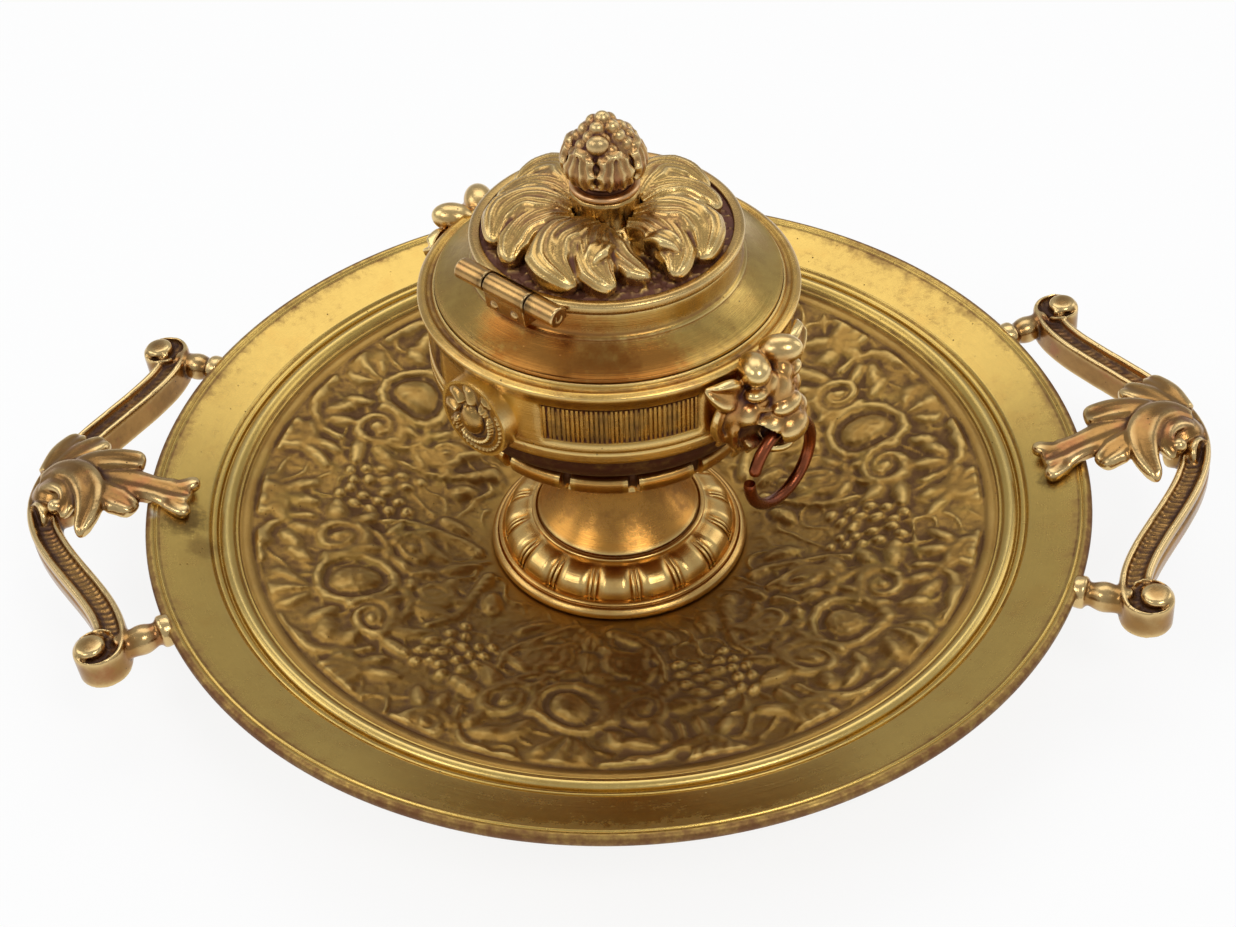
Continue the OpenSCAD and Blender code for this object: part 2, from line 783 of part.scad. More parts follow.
module finial_collar() {
    r = finial_collar_r;
    z = boss_z;
    h = finial_collar_h;
    color(copper)
    rotate_extrude()
    polygon(concat(
        [[stud_r + hole_gap, z], [r - 1.2, z]],
        arc([r - 0.8, z + 0.8], 0.8, -90, 90, 6),
        [[r - 2, z + 1], [r - 2.5, z + h - 1.2], [r - 2.6, z + h - 0.3], [r - 3.1, z + h],
         [stud_r + hole_gap, z + h]]));
}

// Fruits in rings round the cone of the finial
module fruits() {
    z = finial_z + finial_h - fruit_r;
    translate([0, 0, z]) sphere(r = fruit_r, $fn = 32);
    for (ring = [[cup_r * 0.42, 2.2, 5], [cup_r * 0.68, 5.6, 8]])
        for (i = [0:ring[2] - 1])
            rotate([0, 0, (i + ring[1] / 4) * 360 / ring[2]])
            translate([0, -ring[0], z - ring[1]])
            sphere(r = fruit_r, $fn = 32);
}

module finial() {
    z = finial_z;
    color(brass)
    difference() {
        union() {
            rotate_extrude()
            polygon([[0, z], [finial_collar_r - 3.3, z], [cup_r * 0.62, z + 1],
                     [cup_r * 0.86, z + 3], [cup_r, z + 5.6], [cup_r * 0.98, z + 7.4],
                     [cup_r * 0.86, z + 8.2], [cup_r * 0.62, z + 10], [0, z + finial_h - 3]]);
            fruits();
        }
        translate([0, 0, z - 1])
        cylinder(r = stud_r + hole_gap, h = 7);
    }
}

module finial_stud() {
    color(dark_brass)
    translate([0, 0, lid_z - 0.6])
    cylinder(r = stud_r, h = finial_z + 5.6 - lid_z, $fn = 32);
}

module finial_nut() {
    color(dark_brass)
    translate([0, 0, lid_z - 0.6])
    difference() {
        cylinder(r = 3.4, h = 1.4, $fn = 6);
        translate([0, 0, -1])
        cylinder(r = stud_r + 0.02, h = 4, $fn = 32);
    }
}

// Space of the bowl's side, and above it of its rim, with the seating gap
module bowl_space() {
    cylinder(r = bowl_r + seat_gap, h = shoulder_z + 1);
    translate([0, 0, shoulder_z])
    cylinder(r = bowl_r + rim_over + seat_gap, h = through_h);
}

// Lion mask that faces the front: brow, curls, ears, mane and a bored muzzle
module mask_shape() {
    r = mask_r;
    difference() {
        union() {
            on_side(bowl_r - 2, mask_z)
            cylinder(r1 = r + 1, r2 = r * 0.83, h = r * 0.56);
            for (x = [-1, 1]) {
                translate([x * r * 0.42, -bowl_r - r * 0.3, mask_z + r * 0.96]) sphere(r = r * 0.4);
                translate([x * r * 1.09, -bowl_r + r * 0.05, mask_z + r * 0.61]) sphere(r = r * 0.31);
                translate([x * r * 0.96, -bowl_r - r * 0.12, mask_z - r * 0.35]) sphere(r = r * 0.33);
                translate([x * r * 0.74, -bowl_r - r * 0.09, mask_z - r * 0.7]) sphere(r = r * 0.31);
            }
            translate([0, -bowl_r - r * 0.35, mask_z + r * 0.35]) sphere(r = r * 0.47);
            // Muzzle
            on_side(bowl_r + 1, mask_z + 0.6)
            cylinder(r = muzzle_half, h = ring_out + 1.6);
            translate([-muzzle_half, -ring_axis_r - swing_r, ring_axis_z])
            cube([2 * muzzle_half, ring_out + swing_r - 1, mask_z + 0.6 - ring_axis_z]);
            translate([0, -ring_axis_r, ring_axis_z])
            rotate([0, 90, 0])
            cylinder(r = swing_r + move_gap + 1.2, h = 2 * muzzle_half, center = true);
        }
        bowl_space();
        translate([0, -ring_axis_r, ring_axis_z])
        rotate([0, 90, 0])
        cylinder(r = swing_r + move_gap, h = 4 * muzzle_half, center = true);
    }
}

module mask(a) {
    color(dark_brass)
    difference() {
        at_azimuth(a) mask_shape();
        side_screws([a], hole_gap);
    }
}

module mask_front() {
    mask(mask_azimuths[0]);
}

module mask_back() {
    mask(mask_azimuths[1]);
}

// Open wire ring that hangs from the muzzle; its lower end stands a little outside the upper one
module hanging_ring(a) {
    wide = 1.12 * ring_r;
    color(copper)
    at_azimuth(a)
    translate([0, -ring_axis_r, ring_axis_z - ring_r])
    rotate([90, 0, 0]) {
        rotate([0, 0, -90])
        rotate_extrude(angle = 255)
        translate([ring_r, 0]) circle(r = wire_r, $fn = 32);
        translate([0, wide - ring_r, 0])
        rotate([0, 0, 180])
        rotate_extrude(angle = 90)
        translate([wide, 0]) circle(r = wire_r, $fn = 32);
    }
}

module ring_front() {
    hanging_ring(mask_azimuths[0]);
}

module ring_back() {
    hanging_ring(mask_azimuths[1]);
}

// Domed rosette with a boss and petals, facing the front
module rosette(a) {
    base = bowl_r - 1.5;
    color(brass)
    difference() {
        at_azimuth(a)
        difference() {
            union() {
                on_side(base, mask_z)
                rotate_extrude()
                polygon([[0, 0], [rosette_r, 0], [rosette_r, 2.6], [rosette_r - 1, 3.4],
                         [rosette_r * 0.5, rosette_h + 0.6], [0, rosette_h + 1]]);
                on_side(base + rosette_h, mask_z) sphere(r = 2.7, $fn = 32);
                for (i = [0:petal_count - 1])
                    on_side(base + rosette_h - 1.2, mask_z)
                    rotate([0, 0, i * 360 / petal_count])
                    translate([rosette_r * 0.6, 0, 0])
                    sphere(r = rosette_r * 0.22, $fn = 32);
            }
            bowl_space();
        }
        side_screws([a], hole_gap);
    }
}

module rosette_front() {
    rosette(rosette_azimuths[0]);
}

module rosette_back() {
    rosette(rosette_azimuths[1]);
}

module tie_rod() {
    head_z = bowl_z + floor_t;
    end_z = under_z - washer_t - nut_t;
    color(dark_brass)
    union() {
        translate([0, 0, end_z])
        cylinder(r = rod_r, h = head_z - end_z + 0.5, $fn = 32);
        translate([0, 0, head_z])
        cylinder(r = 2 * rod_r, h = 1.8);
    }
}

module tie_washer() {
    color(dark_brass)
    translate([0, 0, under_z - washer_t])
    difference() {
        cylinder(r = 3 * rod_r, h = washer_t);
        translate([0, 0, -1])
        cylinder(r = rod_r + hole_gap, h = washer_t + 2);
    }
}

module tie_nut() {
    color(dark_brass)
    translate([0, 0, under_z - washer_t - nut_t])
    difference() {
        cylinder(r = 2 * rod_r, h = nut_t, $fn = 6);
        translate([0, 0, -1])
        cylinder(r = rod_r + 0.02, h = nut_t + 2);
    }
}

tray();
handle_left();
handle_right();
handle_tenons();
pedestal();
notched_collar();
bowl();
bowl_cover();
ink_liner();
lid();
finial_collar();
finial();
finial_stud();
finial_nut();
hinge_bracket();
hinge_knuckles();
hinge_pin();
hinge_rivets();
mask_front();
mask_back();
ring_front();
ring_back();
rosette_front();
rosette_back();
mask_screws();
rosette_screws();
tie_rod();
tie_washer();
tie_nut();
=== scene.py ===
"""Looks of a round brass desk inkstand: a dished tray with scroll handles and a lidded urn on a foot.

Shapes are worked out in millimetres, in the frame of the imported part, and become metres when a mesh is made.
Azimuths are counted from the front (-Y) towards +X.
"""

import math

import bmesh
import bpy
import numpy as np
from mathutils import Matrix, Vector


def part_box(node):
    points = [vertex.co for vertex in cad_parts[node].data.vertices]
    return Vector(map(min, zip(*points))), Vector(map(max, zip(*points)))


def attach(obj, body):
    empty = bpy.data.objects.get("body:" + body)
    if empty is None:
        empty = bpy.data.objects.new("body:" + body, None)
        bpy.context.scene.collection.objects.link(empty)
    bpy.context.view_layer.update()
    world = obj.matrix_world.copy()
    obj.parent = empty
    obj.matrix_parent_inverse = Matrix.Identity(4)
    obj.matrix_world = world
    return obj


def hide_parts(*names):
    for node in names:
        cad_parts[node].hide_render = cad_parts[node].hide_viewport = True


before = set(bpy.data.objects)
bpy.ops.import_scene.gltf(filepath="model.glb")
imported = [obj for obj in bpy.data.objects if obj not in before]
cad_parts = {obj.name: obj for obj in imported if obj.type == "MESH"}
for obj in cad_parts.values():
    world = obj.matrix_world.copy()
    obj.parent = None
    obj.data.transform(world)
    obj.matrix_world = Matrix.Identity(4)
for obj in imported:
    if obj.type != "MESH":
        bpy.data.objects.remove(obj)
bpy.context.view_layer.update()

# ---------------------------------------------------------------- Tray
# One round casting in brass, turned on its flange and moulding and left as cast underneath.
# A foot ring carries it. Handling has rubbed the beads and the flange's edge bright, and the roll of the
# lip and the grooves are brown.

MM = 0.001


class Sock:
    """A shader socket whose arithmetic adds Math nodes."""

    def __init__(self, finish, out):
        self.finish, self.out = finish, out

    def math(self, operation, *values):
        return self.finish.node("ShaderNodeMath", {"operation": operation}, dict(enumerate(values)))

    def __add__(self, other):
        return self.math("ADD", self, other)

    __radd__ = __add__

    def __mul__(self, other):
        return self.math("MULTIPLY", self, other)

    __rmul__ = __mul__

    def __sub__(self, other):
        return self.math("SUBTRACT", self, other)

    def __rsub__(self, other):
        return self.math("SUBTRACT", other, self)

    def __pow__(self, other):
        return self.math("POWER", self, other)

    def step(self, low, high):
        """0 below low and 1 above high, with a smooth rise between."""
        return self.finish.node("ShaderNodeMapRange", {"interpolation_type": "SMOOTHSTEP"},
                                {"Value": self, "From Min": low, "From Max": high})


class Finish:
    """A material under construction, with coordinates in millimetres."""

    def __init__(self, name):
        self.material = bpy.data.materials.new(name)
        self.material.use_nodes = True
        self.tree = self.material.node_tree
        self.tree.nodes.clear()
        where = self.node("ShaderNodeTexCoord", out="Object")
        self.place = self.node("ShaderNodeVectorMath", {"operation": "SCALE"}, {0: where, "Scale": 1 / MM})

    def node(self, kind, settings=None, values=None, out=0):
        made = self.tree.nodes.new(kind)
        for key, value in (settings or {}).items():
            setattr(made, key, value)
        for key, value in (values or {}).items():
            if isinstance(value, Sock):
                self.tree.links.new(value.out, made.inputs[key])
            else:
                made.inputs[key].default_value = value
        return Sock(self, made.outputs[out])

    def noise(self, scale, detail=4.0, rough=0.55, at=None):
        return self.node("ShaderNodeTexNoise", None, {
            "Vector": at or self.place, "Scale": scale, "Detail": detail, "Roughness": rough})

    def mix(self, share, a, b):
        """Colour between a and b, each a socket or a linear (r, g, b)."""
        made = self.tree.nodes.new("ShaderNodeMix")
        made.data_type = "RGBA"
        for index, value in ((0, share), (6, a), (7, b)):
            if isinstance(value, Sock):
                self.tree.links.new(value.out, made.inputs[index])
            else:
                made.inputs[index].default_value = (*value, 1) if index else value
        return Sock(self, made.outputs[2])

    def bump(self, height, distance, strength=1.0, under=None):
        values = {"Height": height, "Distance": distance * MM, "Strength": strength}
        if under:
            values["Normal"] = under
        return self.node("ShaderNodeBump", None, values)

    def surface(self, values):
        shader = self.node("ShaderNodeBsdfPrincipled", None, values)
        end = self.tree.nodes.new("ShaderNodeOutputMaterial")
        self.tree.links.new(shader.out, end.inputs["Surface"])
        return self.material


def aged_brass(name, bright, body, dirt, gloss, turned=0.0, pits=0.35, dirt_share=1.0, tint=None,
               stains_and_painted_light=(), clouds=0.38):
    """Brass that is bright where it is rubbed and brown where it is sunk.

    bright, body and dirt are linear colours. gloss is the roughness of clean metal, turned the depth of
    the lathe's marks and pits that of the casting's skin, in tenths of a millimetre. Each of the spots is
    a place, its reach and its colour: some are real stain, others painted shadow and painted dark reflection.
    clouds is how far the body drifts towards the dirt's colour."""
    f = Finish(name)
    relief = f.node("ShaderNodeAttribute", {"attribute_name": "relief"}, out="Fac")
    cloud = f.noise(0.045, 5, 0.6)
    mottle = f.noise(0.4, 6, 0.7)
    grain = f.noise(3.2, 3, 0.6)
    sunk = (relief * -1 + (mottle - 0.5) * 0.9 + (cloud - 0.5) * 0.8).step(0.02, 0.75) * dirt_share
    rubbed = (relief + (mottle - 0.5) * 0.5).step(0.1, 0.8)
    drifted = [(1 - clouds) * b + clouds * d for b, d in zip(body, dirt)]
    colour = f.mix((cloud + (mottle - 0.5) * 0.35).step(0.36, 0.66), body, drifted)
    if tint:
        colour = f.mix(f.noise(0.11, 4, 0.6).step(0.52, 0.7) * (0.25 + clouds), colour, tint)
    colour = f.mix(rubbed * 0.85, colour, bright)
    # Spots of real stain, and of painted shadow and painted dark reflection, each fading out over its reach
    for place, reach, shade in stains_and_painted_light:
        away = f.node("ShaderNodeVectorMath", {"operation": "DISTANCE"}, {0: f.place, 1: place}, "Value")
        spread = (away + (mottle - 0.5) * reach * 1.2 + (cloud - 0.5) * reach).step(reach * 0.3, reach)
        colour = f.mix((1 - spread) * 0.8, colour, shade)
    colour = f.mix(sunk, colour, dirt)
    specks = f.node("ShaderNodeTexVoronoi", None, {"Vector": f.place, "Scale": 0.55, "Randomness": 1.0})
    speck = (1 - specks.step(0.05, 0.14)) * f.noise(0.21, 2, 0.5).step(0.57, 0.64)
    colour = f.mix(speck * 0.8, colour, [0.45 * d for d in dirt])
    rough = (gloss + sunk * 0.3 + (mottle - 0.5) * (0.06 if turned else 0.14) + speck * 0.25
             + (grain - 0.5) * 0.06)
    normal = f.bump(grain * pits + mottle * pits * 0.8 - speck * 0.5, 0.1)
    if turned:
        x = f.node("ShaderNodeSeparateXYZ", None, {"Vector": f.place}, out="X")
        y, height = (Sock(f, x.out.node.outputs[axis]) for axis in "YZ")
        radius = (x * x + y * y) ** 0.5
        rings = f.node("ShaderNodeCombineXYZ", None, {"X": radius, "Y": height})
        marks = f.noise(5.5, 3, 0.75, rings)
        normal = f.bump(marks, turned, 1.0, normal)
        rough = rough + (marks - 0.5) * 0.12
    return f.surface({"Base Color": colour, "Metallic": 1 - sunk * 0.45, "Roughness": rough,
                      "Normal": normal})


def fillet(corners, bend=5):
    """Outline whose corners (r, z, radius) are rounded; a corner without a radius stays sharp."""
    points = []
    count = len(corners)
    for i, corner in enumerate(corners):
        here = np.array(corner[:2], float)
        if len(corner) < 3:
            points.append(here)
            continue
        before = np.array(corners[i - 1][:2], float) - here
        after = np.array(corners[(i + 1) % count][:2], float) - here
        cut = min(corner[2], 0.48 * np.linalg.norm(before), 0.48 * np.linalg.norm(after))
        a = here + before / np.linalg.norm(before) * cut
        b = here + after / np.linalg.norm(after) * cut
        for t in np.linspace(0, 1, bend):
            points.append((1 - t) ** 2 * a + 2 * t * (1 - t) * here + t * t * b)
    return np.array(points)


def offset_from(r, z, *corners):
    """Corners for fillet, each counted from (r, z)."""
    return [(r + out, z + up, *bend) for out, up, *bend in corners]


def refined(points, step, closed=True):
    """The same outline with no stretch longer than step."""
    out = []
    count = len(points)
    for i in range(count if closed else count - 1):
        a, b = points[i], points[(i + 1) % count]
        n = max(1, math.ceil(np.linalg.norm(b - a) / step))
        out += [a + (b - a) * k / n for k in range(n)]
    if not closed:
        out.append(points[-1])
    return np.array(out)


def turn(outline, around, shape=None):
    """Grid of points of an outline (r, z) turned round Z. shape(r, z, azimuth) may move it."""
    azimuth = np.arange(around) * 2 * math.pi / around
    r, a = np.meshgrid(outline[:, 0], azimuth, indexing="ij")
    z = np.repeat(outline[:, 1:2], around, 1)
    if shape:
        r, z = shape(r, z, a)
    return np.stack([r * np.sin(a), -r * np.cos(a), z], -1)


def grid_faces(rows, columns, closed_rows, closed_columns):
    """Quads of a grid of points, wrapped where it is closed."""
    i = np.arange(rows if closed_rows else rows - 1)[:, None]
    j = np.arange(columns if closed_columns else columns - 1)[None, :]
    i2, j2 = (i + 1) % rows, (j + 1) % columns
    corners = (i * columns + j, i * columns + j2, i2 * columns + j2, i2 * columns + j)
    quads = np.stack(np.broadcast_arrays(*corners), -1)
    return quads.reshape(-1, 4).tolist()


def make_mesh(name, points, faces):
    """Closed mesh from points in millimetres, its doubles merged and its faces outward."""
    mesh = bpy.data.meshes.new(name)
    mesh.from_pydata((np.asarray(points, float).reshape(-1, 3)).tolist(), [], faces)
    work = bmesh.new()
    work.from_mesh(mesh)
    bmesh.ops.remove_doubles(work, verts=work.verts, dist=0.0005)
    bmesh.ops.dissolve_degenerate(work, edges=work.edges, dist=0.0005)
    bmesh.ops.recalc_face_normals(work, faces=work.faces)
    work.to_mesh(mesh)
    work.free()
    return mesh


def turned_mesh(name, outline, around, shape=None):
    """Closed mesh of an outline (r, z) turned round Z, and moved by shape if it is given."""
    points = turn(outline, around, shape)
    return make_mesh(name, points, grid_faces(*points.shape[:2], True, True))


def points_of(mesh):
    points = np.empty(len(mesh.vertices) * 3)
    mesh.vertices.foreach_get("co", points)
    return points.reshape(-1, 3)


def stand_of(mesh, rounds, depth):
    """How far each point stands above (1) or below (-1) the smoothed surface, over depth mm."""
    points = points_of(mesh)
    count = len(points)
    ends = np.empty(len(mesh.edges) * 2, np.int64)
    mesh.edges.foreach_get("vertices", ends)
    a, b = ends.reshape(-1, 2).T
    near = (np.bincount(a, minlength=count) + np.bincount(b, minlength=count)).clip(1)[:, None]
    calm = points.copy()
    for _ in range(rounds):
        total = np.stack([np.bincount(a, calm[b, k], count) + np.bincount(b, calm[a, k], count)
                          for k in range(3)], 1)
        calm = 0.4 * calm + 0.6 * total / near
    normals = np.empty(count * 3)
    mesh.vertex_normals.foreach_get("vector", normals)
    return np.clip(((points - calm) * normals.reshape(-1, 3)).sum(1) / depth, -1, 1)


def added(name, data):
    """New object in the scene."""
    obj = bpy.data.objects.new(name, data)
    bpy.context.scene.collection.objects.link(obj)
    return obj


sharp_angle = math.radians(48)


def piece(mesh, finish, body="base", nodes=(), relief=(12, 0.12)):
    """Turns a mesh in millimetres into a finished piece on a body, in place of CAD nodes.

    relief is the rounds and depth of stand_of, or an array of what it would give."""
    if relief is not None:
        stand = relief if isinstance(relief, np.ndarray) else stand_of(mesh, *relief)
        layer = mesh.attributes.new("relief", "FLOAT", "POINT")
        layer.data.foreach_set("value", np.clip(stand, -1, 1).astype(np.float32))
    mesh.transform(Matrix.Scale(MM, 4))
    mesh.polygons.foreach_set("use_smooth", [True] * len(mesh.polygons))
    mesh.set_sharp_from_angle(angle=sharp_angle)
    mesh.materials.clear()
    mesh.materials.append(finish)
    obj = added(mesh.name, mesh)
    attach(obj, body)
    if nodes:
        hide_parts(*nodes)


tray_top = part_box("tray")[1].z / MM
lip_round = 1.6
tray_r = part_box("tray")[1].x / MM - lip_round
lip_edge = tray_r + lip_round
flange_w, flange_drop = 12.6, 4.2
moulding_w, moulding_drop = 6.8, 2.8
flange_r, flange_z = tray_r - flange_w, tray_top - flange_drop
field_r, field_z = flange_r - moulding_w, flange_z - moulding_drop
seat_r, seat_z = 31.5, 6.7
wall = 2.6
foot_ring_r, foot_ring_w = 52.0, 4.0
field_slope = (field_z - seat_z) / (field_r - seat_r)

tray_outline = fillet([
    (2.5, seat_z - wall), (2.5, seat_z), (seat_r, seat_z - 0.15, 0.6),
    # Step, broad bead, narrow groove and second bead of the moulding
    *offset_from(field_r, field_z, (-0.2, -0.15, 0.3), (0.15, 0.85, 0.25), (0.6, 0.7, 0.2), (1.1, 1.8, 0.9),
                 (2.5, 2.75, 1.3), (4.0, 2.1, 0.9), (4.35, 1.1, 0.25), (4.65, 1.2, 0.2), (4.95, 2.25, 0.5),
                 (6.0, 2.5, 0.4)),
    (flange_r - 0.55, flange_z - 0.85, 0.2), (flange_r, flange_z + 0.03, 0.25),
    (flange_r + 6, (flange_z + tray_top) / 2 - 0.1, 4),
    # Edge of the flange, groove and roll of the lip
    *offset_from(tray_r, tray_top, (-1.6, -0.75, 0.5), (-1.1, -0.25, 0.25), (-0.7, -0.6, 0.15),
                 (-0.35, -0.2, 0.3), (0.4, 0, 0.6), (1.35, -0.5, 0.8), (lip_round, -lip_round, 0.9),
                 (1.2, -2.7, 0.8), (0, -2 * lip_round, 0.6)),
    (flange_r + 2, flange_z - wall + 0.6, 3), (field_r, field_z - wall, 3),
    (foot_ring_r, seat_z + (foot_ring_r - seat_r) * field_slope - wall, 0.8),
    (foot_ring_r, 0, 0.6), (foot_ring_r - foot_ring_w, 0, 0.6),
    (foot_ring_r - foot_ring_w, seat_z + (foot_ring_r - foot_ring_w - seat_r) * field_slope - wall, 0.8),
    (seat_r, seat_z - wall, 3)])
# The two dark brown spots under the handles' tongues are painted shadow, and the grey spot is solder.
tongue_shadow_brown, solder_grey = (0.1, 0.05, 0.015), (0.62, 0.58, 0.48)
tray_brass = aged_brass("tray brass", (0.7, 0.53, 0.21), (0.55, 0.37, 0.1), (0.16, 0.062, 0.016),
                        0.24, turned=0.03, pits=0.03, tint=(0.5, 0.3, 0.075), clouds=0.12, stains_and_painted_light=[
                            ((-103, -10, 26), 7, tongue_shadow_brown), ((103, -9, 26), 5, tongue_shadow_brown),
                            ((-97, -19, 24), 5, (0.3, 0.18, 0.05)),
                            ((-109.6, -10.4, 27.6), 2.2, solder_grey)])
tray_body = turned_mesh("tray_body", refined(tray_outline, 2.5), 320)
# The roll of the lip turns brown outwards
roll = np.maximum(0, np.hypot(*points_of(tray_body)[:, :2].T) - tray_r + 0.6)
tray_stand = (stand_of(tray_body, 8, 0.2) * np.maximum(0, 1 - roll)
              - 0.5 * np.minimum(1, roll) - 0.25 * np.maximum(0, roll - 1.6))
piece(tray_body, tray_brass, nodes=["tray"], relief=tray_stand)


def sheet(radii, azimuth, height, under, full=False):
    """Closed slab over a part of a ring: height(x, y) is its upper face and under(r) its lower one."""
    rows, columns = len(radii), len(azimuth)
    r, a = np.meshgrid(radii, azimuth, indexing="ij")
    x, y = r * np.sin(a), -r * np.cos(a)
    top = np.stack([x, y, height(x, y)], -1).reshape(-1, 3)
    ends = [0, rows - 1]
    low = np.stack([x[ends], y[ends], under(r[ends])], -1).reshape(-1, 3)
    faces = grid_faces(rows, columns, False, full)
    base = rows * columns
    for j in range(columns if full else columns - 1):
        k = (j + 1) % columns
        outer, far = base - columns, base + columns
        faces += [[base + k, base + j, far + j, far + k], [k, j, base + j, base + k],
                  [outer + j, outer + k, far + k, far + j]]
    if not full:
        for j in (0, columns - 1):
            faces.append([i * columns + j for i in range(rows)] + [base + columns + j, base + j])
    return np.concatenate([top, low]), faces


# ---------------------------------------------------------------- Relief of the tray
# The field inside the moulding is cast in low relief and worn soft: straps and scrolls round oval bosses,
# with shells, fruit and leaves, six times round. Dirt has settled in its stippled ground.

repeats = 6
relief_first = -10.0
relief_in, relief_out = 30.6, field_r - 0.1


def curl(x, y, start, end, first, turns, steps=48):
    """Spiral about (x, y) from radius start to radius end."""
    t = np.linspace(0, 1, steps)
    angle = math.radians(first) + turns * 2 * math.pi * t
    radius = start + (end - start) * t ** 0.8
    return np.stack([x + radius * np.cos(angle), y + radius * np.sin(angle)], 1)


def strap(spots, path, wide, high, end_wide=None):
    """Height of a rounded strap along a path, of half width wide, tapering to end_wide."""
    best = np.full(len(spots), 0.0)
    path = np.asarray(path, float)
    end_wide = wide if end_wide is None else end_wide
    for i in range(len(path) - 1):
        a, d = path[i], path[i + 1] - path[i]
        t = np.clip(((spots - a) @ d) / max(d @ d, 1e-9), 0, 1)
        away = np.hypot(*(spots - a - t[:, None] * d).T)
        half = wide + (end_wide - wide) * (i + t) / (len(path) - 1)
        best = np.maximum(best, high * np.sqrt(np.clip(1 - (away / half) ** 2, 0, 1)))
    return best


def boss(spots, x, y, long, wide, high, lean=0.0, ribs=0):
    """Height of an egg-shaped boss, with ribs that fan from its lower end."""
    c, s = math.cos(math.radians(lean)), math.sin(math.radians(lean))
    p, q = ((spots - [x, y]) @ np.array([[c, s], [-s, c]])).T
    dome = np.sqrt(np.clip(1 - (p / wide) ** 2 - (q / long) ** 2, 0, 1))
    if ribs:
        dome = dome * (0.72 + 0.28 * np.cos(ribs * np.arctan2(p, q + 1.15 * long)))
    return high * dome


def wedge_relief(spots):
    """Relief over half a repeat: x is the distance from its middle line and y the radius."""
    out = np.zeros(len(spots))

    def lay(height):
        np.maximum(out, height, out=out)

    # Oval boss in its strapwork frame, with a shell outside it and a pod and a drop inside
    lay(boss(spots, 0, 66.5, 6.0, 4.6, 1.7))
    lay(strap(spots, [(0, 75.4), (4, 74.2), (7, 71), (8, 66.5), (7, 61.8), (4, 58.8), (0, 57.8)], 1.6, 1.1))
    lay(boss(spots, 0, 82.5, 5.8, 7.4, 1.5, 0, 9))
    lay(boss(spots, 0, 50, 4.2, 3.6, 1.3, 180, 7))
    lay(boss(spots, 0, 41, 4.6, 2.6, 1.2, 0, 5))
    # Curls, each with a bud in its eye
    for x, y, reach, first, turns in ((15, 66.2, 7.2, 150, 1.45), (8.2, 49.4, 5.0, 60, -1.3),
                                      (31, 79.4, 5.6, 200, 1.4)):
        lay(strap(spots, curl(x, y, reach, 2.4, first, turns), 2.1, 1.25, 1.2))
        lay(boss(spots, x, y, 2.5, 2.3, 1.4))
    lay(strap(spots, [(6, 56.6), (10.5, 56), (14.5, 57.6), (17.5, 59.6)], 1.9, 1.0, 1.0))
    lay(strap(spots, [(4.8, 36), (9, 38.4), (13.5, 42.6), (17.4, 48.6), (19, 54.6)], 2.0, 1.05, 1.1))
    lay(strap(spots, [(10.5, 86), (17, 85.2), (22.5, 81), (24.4, 75), (23.6, 70)], 2.0, 1.05, 1.1))
    # Leaves that fill the gaps, overlapping at their roots
    for x, y, lean, long in (
            (16, 77.5, 75, 4.6), (19.5, 73.6, 30, 4.2), (11, 76.4, 40, 3.8), (24.4, 63.4, -60, 4.6),
            (9.4, 60.2, 20, 3.6), (15, 52.2, -35, 4.2), (20.6, 58.6, -20, 4.4), (33.4, 70.4, -20, 4.6),
            (28.6, 70.6, 15, 4.2), (17.4, 84, 95, 3.6), (5.8, 44.8, 55, 3.6), (38.4, 80, 20, 4.0),
            (12.6, 44.6, -15, 3.6), (26.6, 86.4, 70, 4.0), (14.4, 37.6, 60, 3.8), (3.4, 54.4, 70, 2.8)):
        lay(boss(spots, x, y, 1.15 * long, 2.6, 1.3, lean, 4))
    # Fruit in a heap between two repeats
    for x, y in ((26.8, 58.2), (24.2, 55.6), (28.8, 55.2), (26.2, 52.6), (30.4, 60.8), (22.8, 51.6),
                 (28.4, 50.2), (31.8, 57.6), (24.8, 48.6), (21, 47.4), (26.8, 62)):
        lay(boss(spots, x, y, 1.75, 1.75, 1.25))
    return out


def ripple(x, y, pitch, seed):
    """Smooth wandering of about 1 either way, for the unevenness of handwork."""
    turns = np.random.default_rng(seed).uniform(0, 2 * math.pi, (6, 2))
    return sum(np.sin((x * math.cos(a) + y * math.sin(a)) * 2 * math.pi / pitch + b) for a, b in turns) / 2.4


def soften(heights, rounds, seam=False):
    """Evens out a grid of heights; with a seam its first and last columns are one."""
    for _ in range(rounds):
        heights[1:-1, 1:-1] = (2 * heights[1:-1, 1:-1] + heights[2:, 1:-1] + heights[:-2, 1:-1]
                               + heights[1:-1, 2:] + heights[1:-1, :-2]) / 6
        if seam:
            joint = (2 * heights[1:-1, 0] + heights[2:, 0] + heights[:-2, 0]
                     + heights[1:-1, 1] + heights[1:-1, -2]) / 6
            heights[1:-1, 0] = heights[1:-1, -1] = joint


# Half a repeat, worked out once on a fine grid
grid_step, half_wide, half_in, half_out = 0.3, 48, 28, 93
half_x, half_y = np.arange(0, half_wide, grid_step), np.arange(half_in, half_out, grid_step)
spots = np.stack(np.meshgrid(half_x, half_y, indexing="ij"), -1).reshape(-1, 2)
table = wedge_relief(spots).reshape(len(half_x), len(half_y))
soften(table, 7)


def pebbles(x, y, cell, seed):
    """Random grain of about 1 either way, smooth between points a cell apart."""
    heights = np.random.default_rng(seed).uniform(-1, 1, (256, 256))
    u, v = x / cell, y / cell
    i, j = np.floor(u).astype(int), np.floor(v).astype(int)
    p, q = (t * t * (3 - 2 * t) for t in (u - i, v - j))
    rows = [(1 - q) * heights[(i + k) % 256, j % 256] + q * heights[(i + k) % 256, (j + 1) % 256]
            for k in (0, 1)]
    return (1 - p) * rows[0] + p * rows[1]


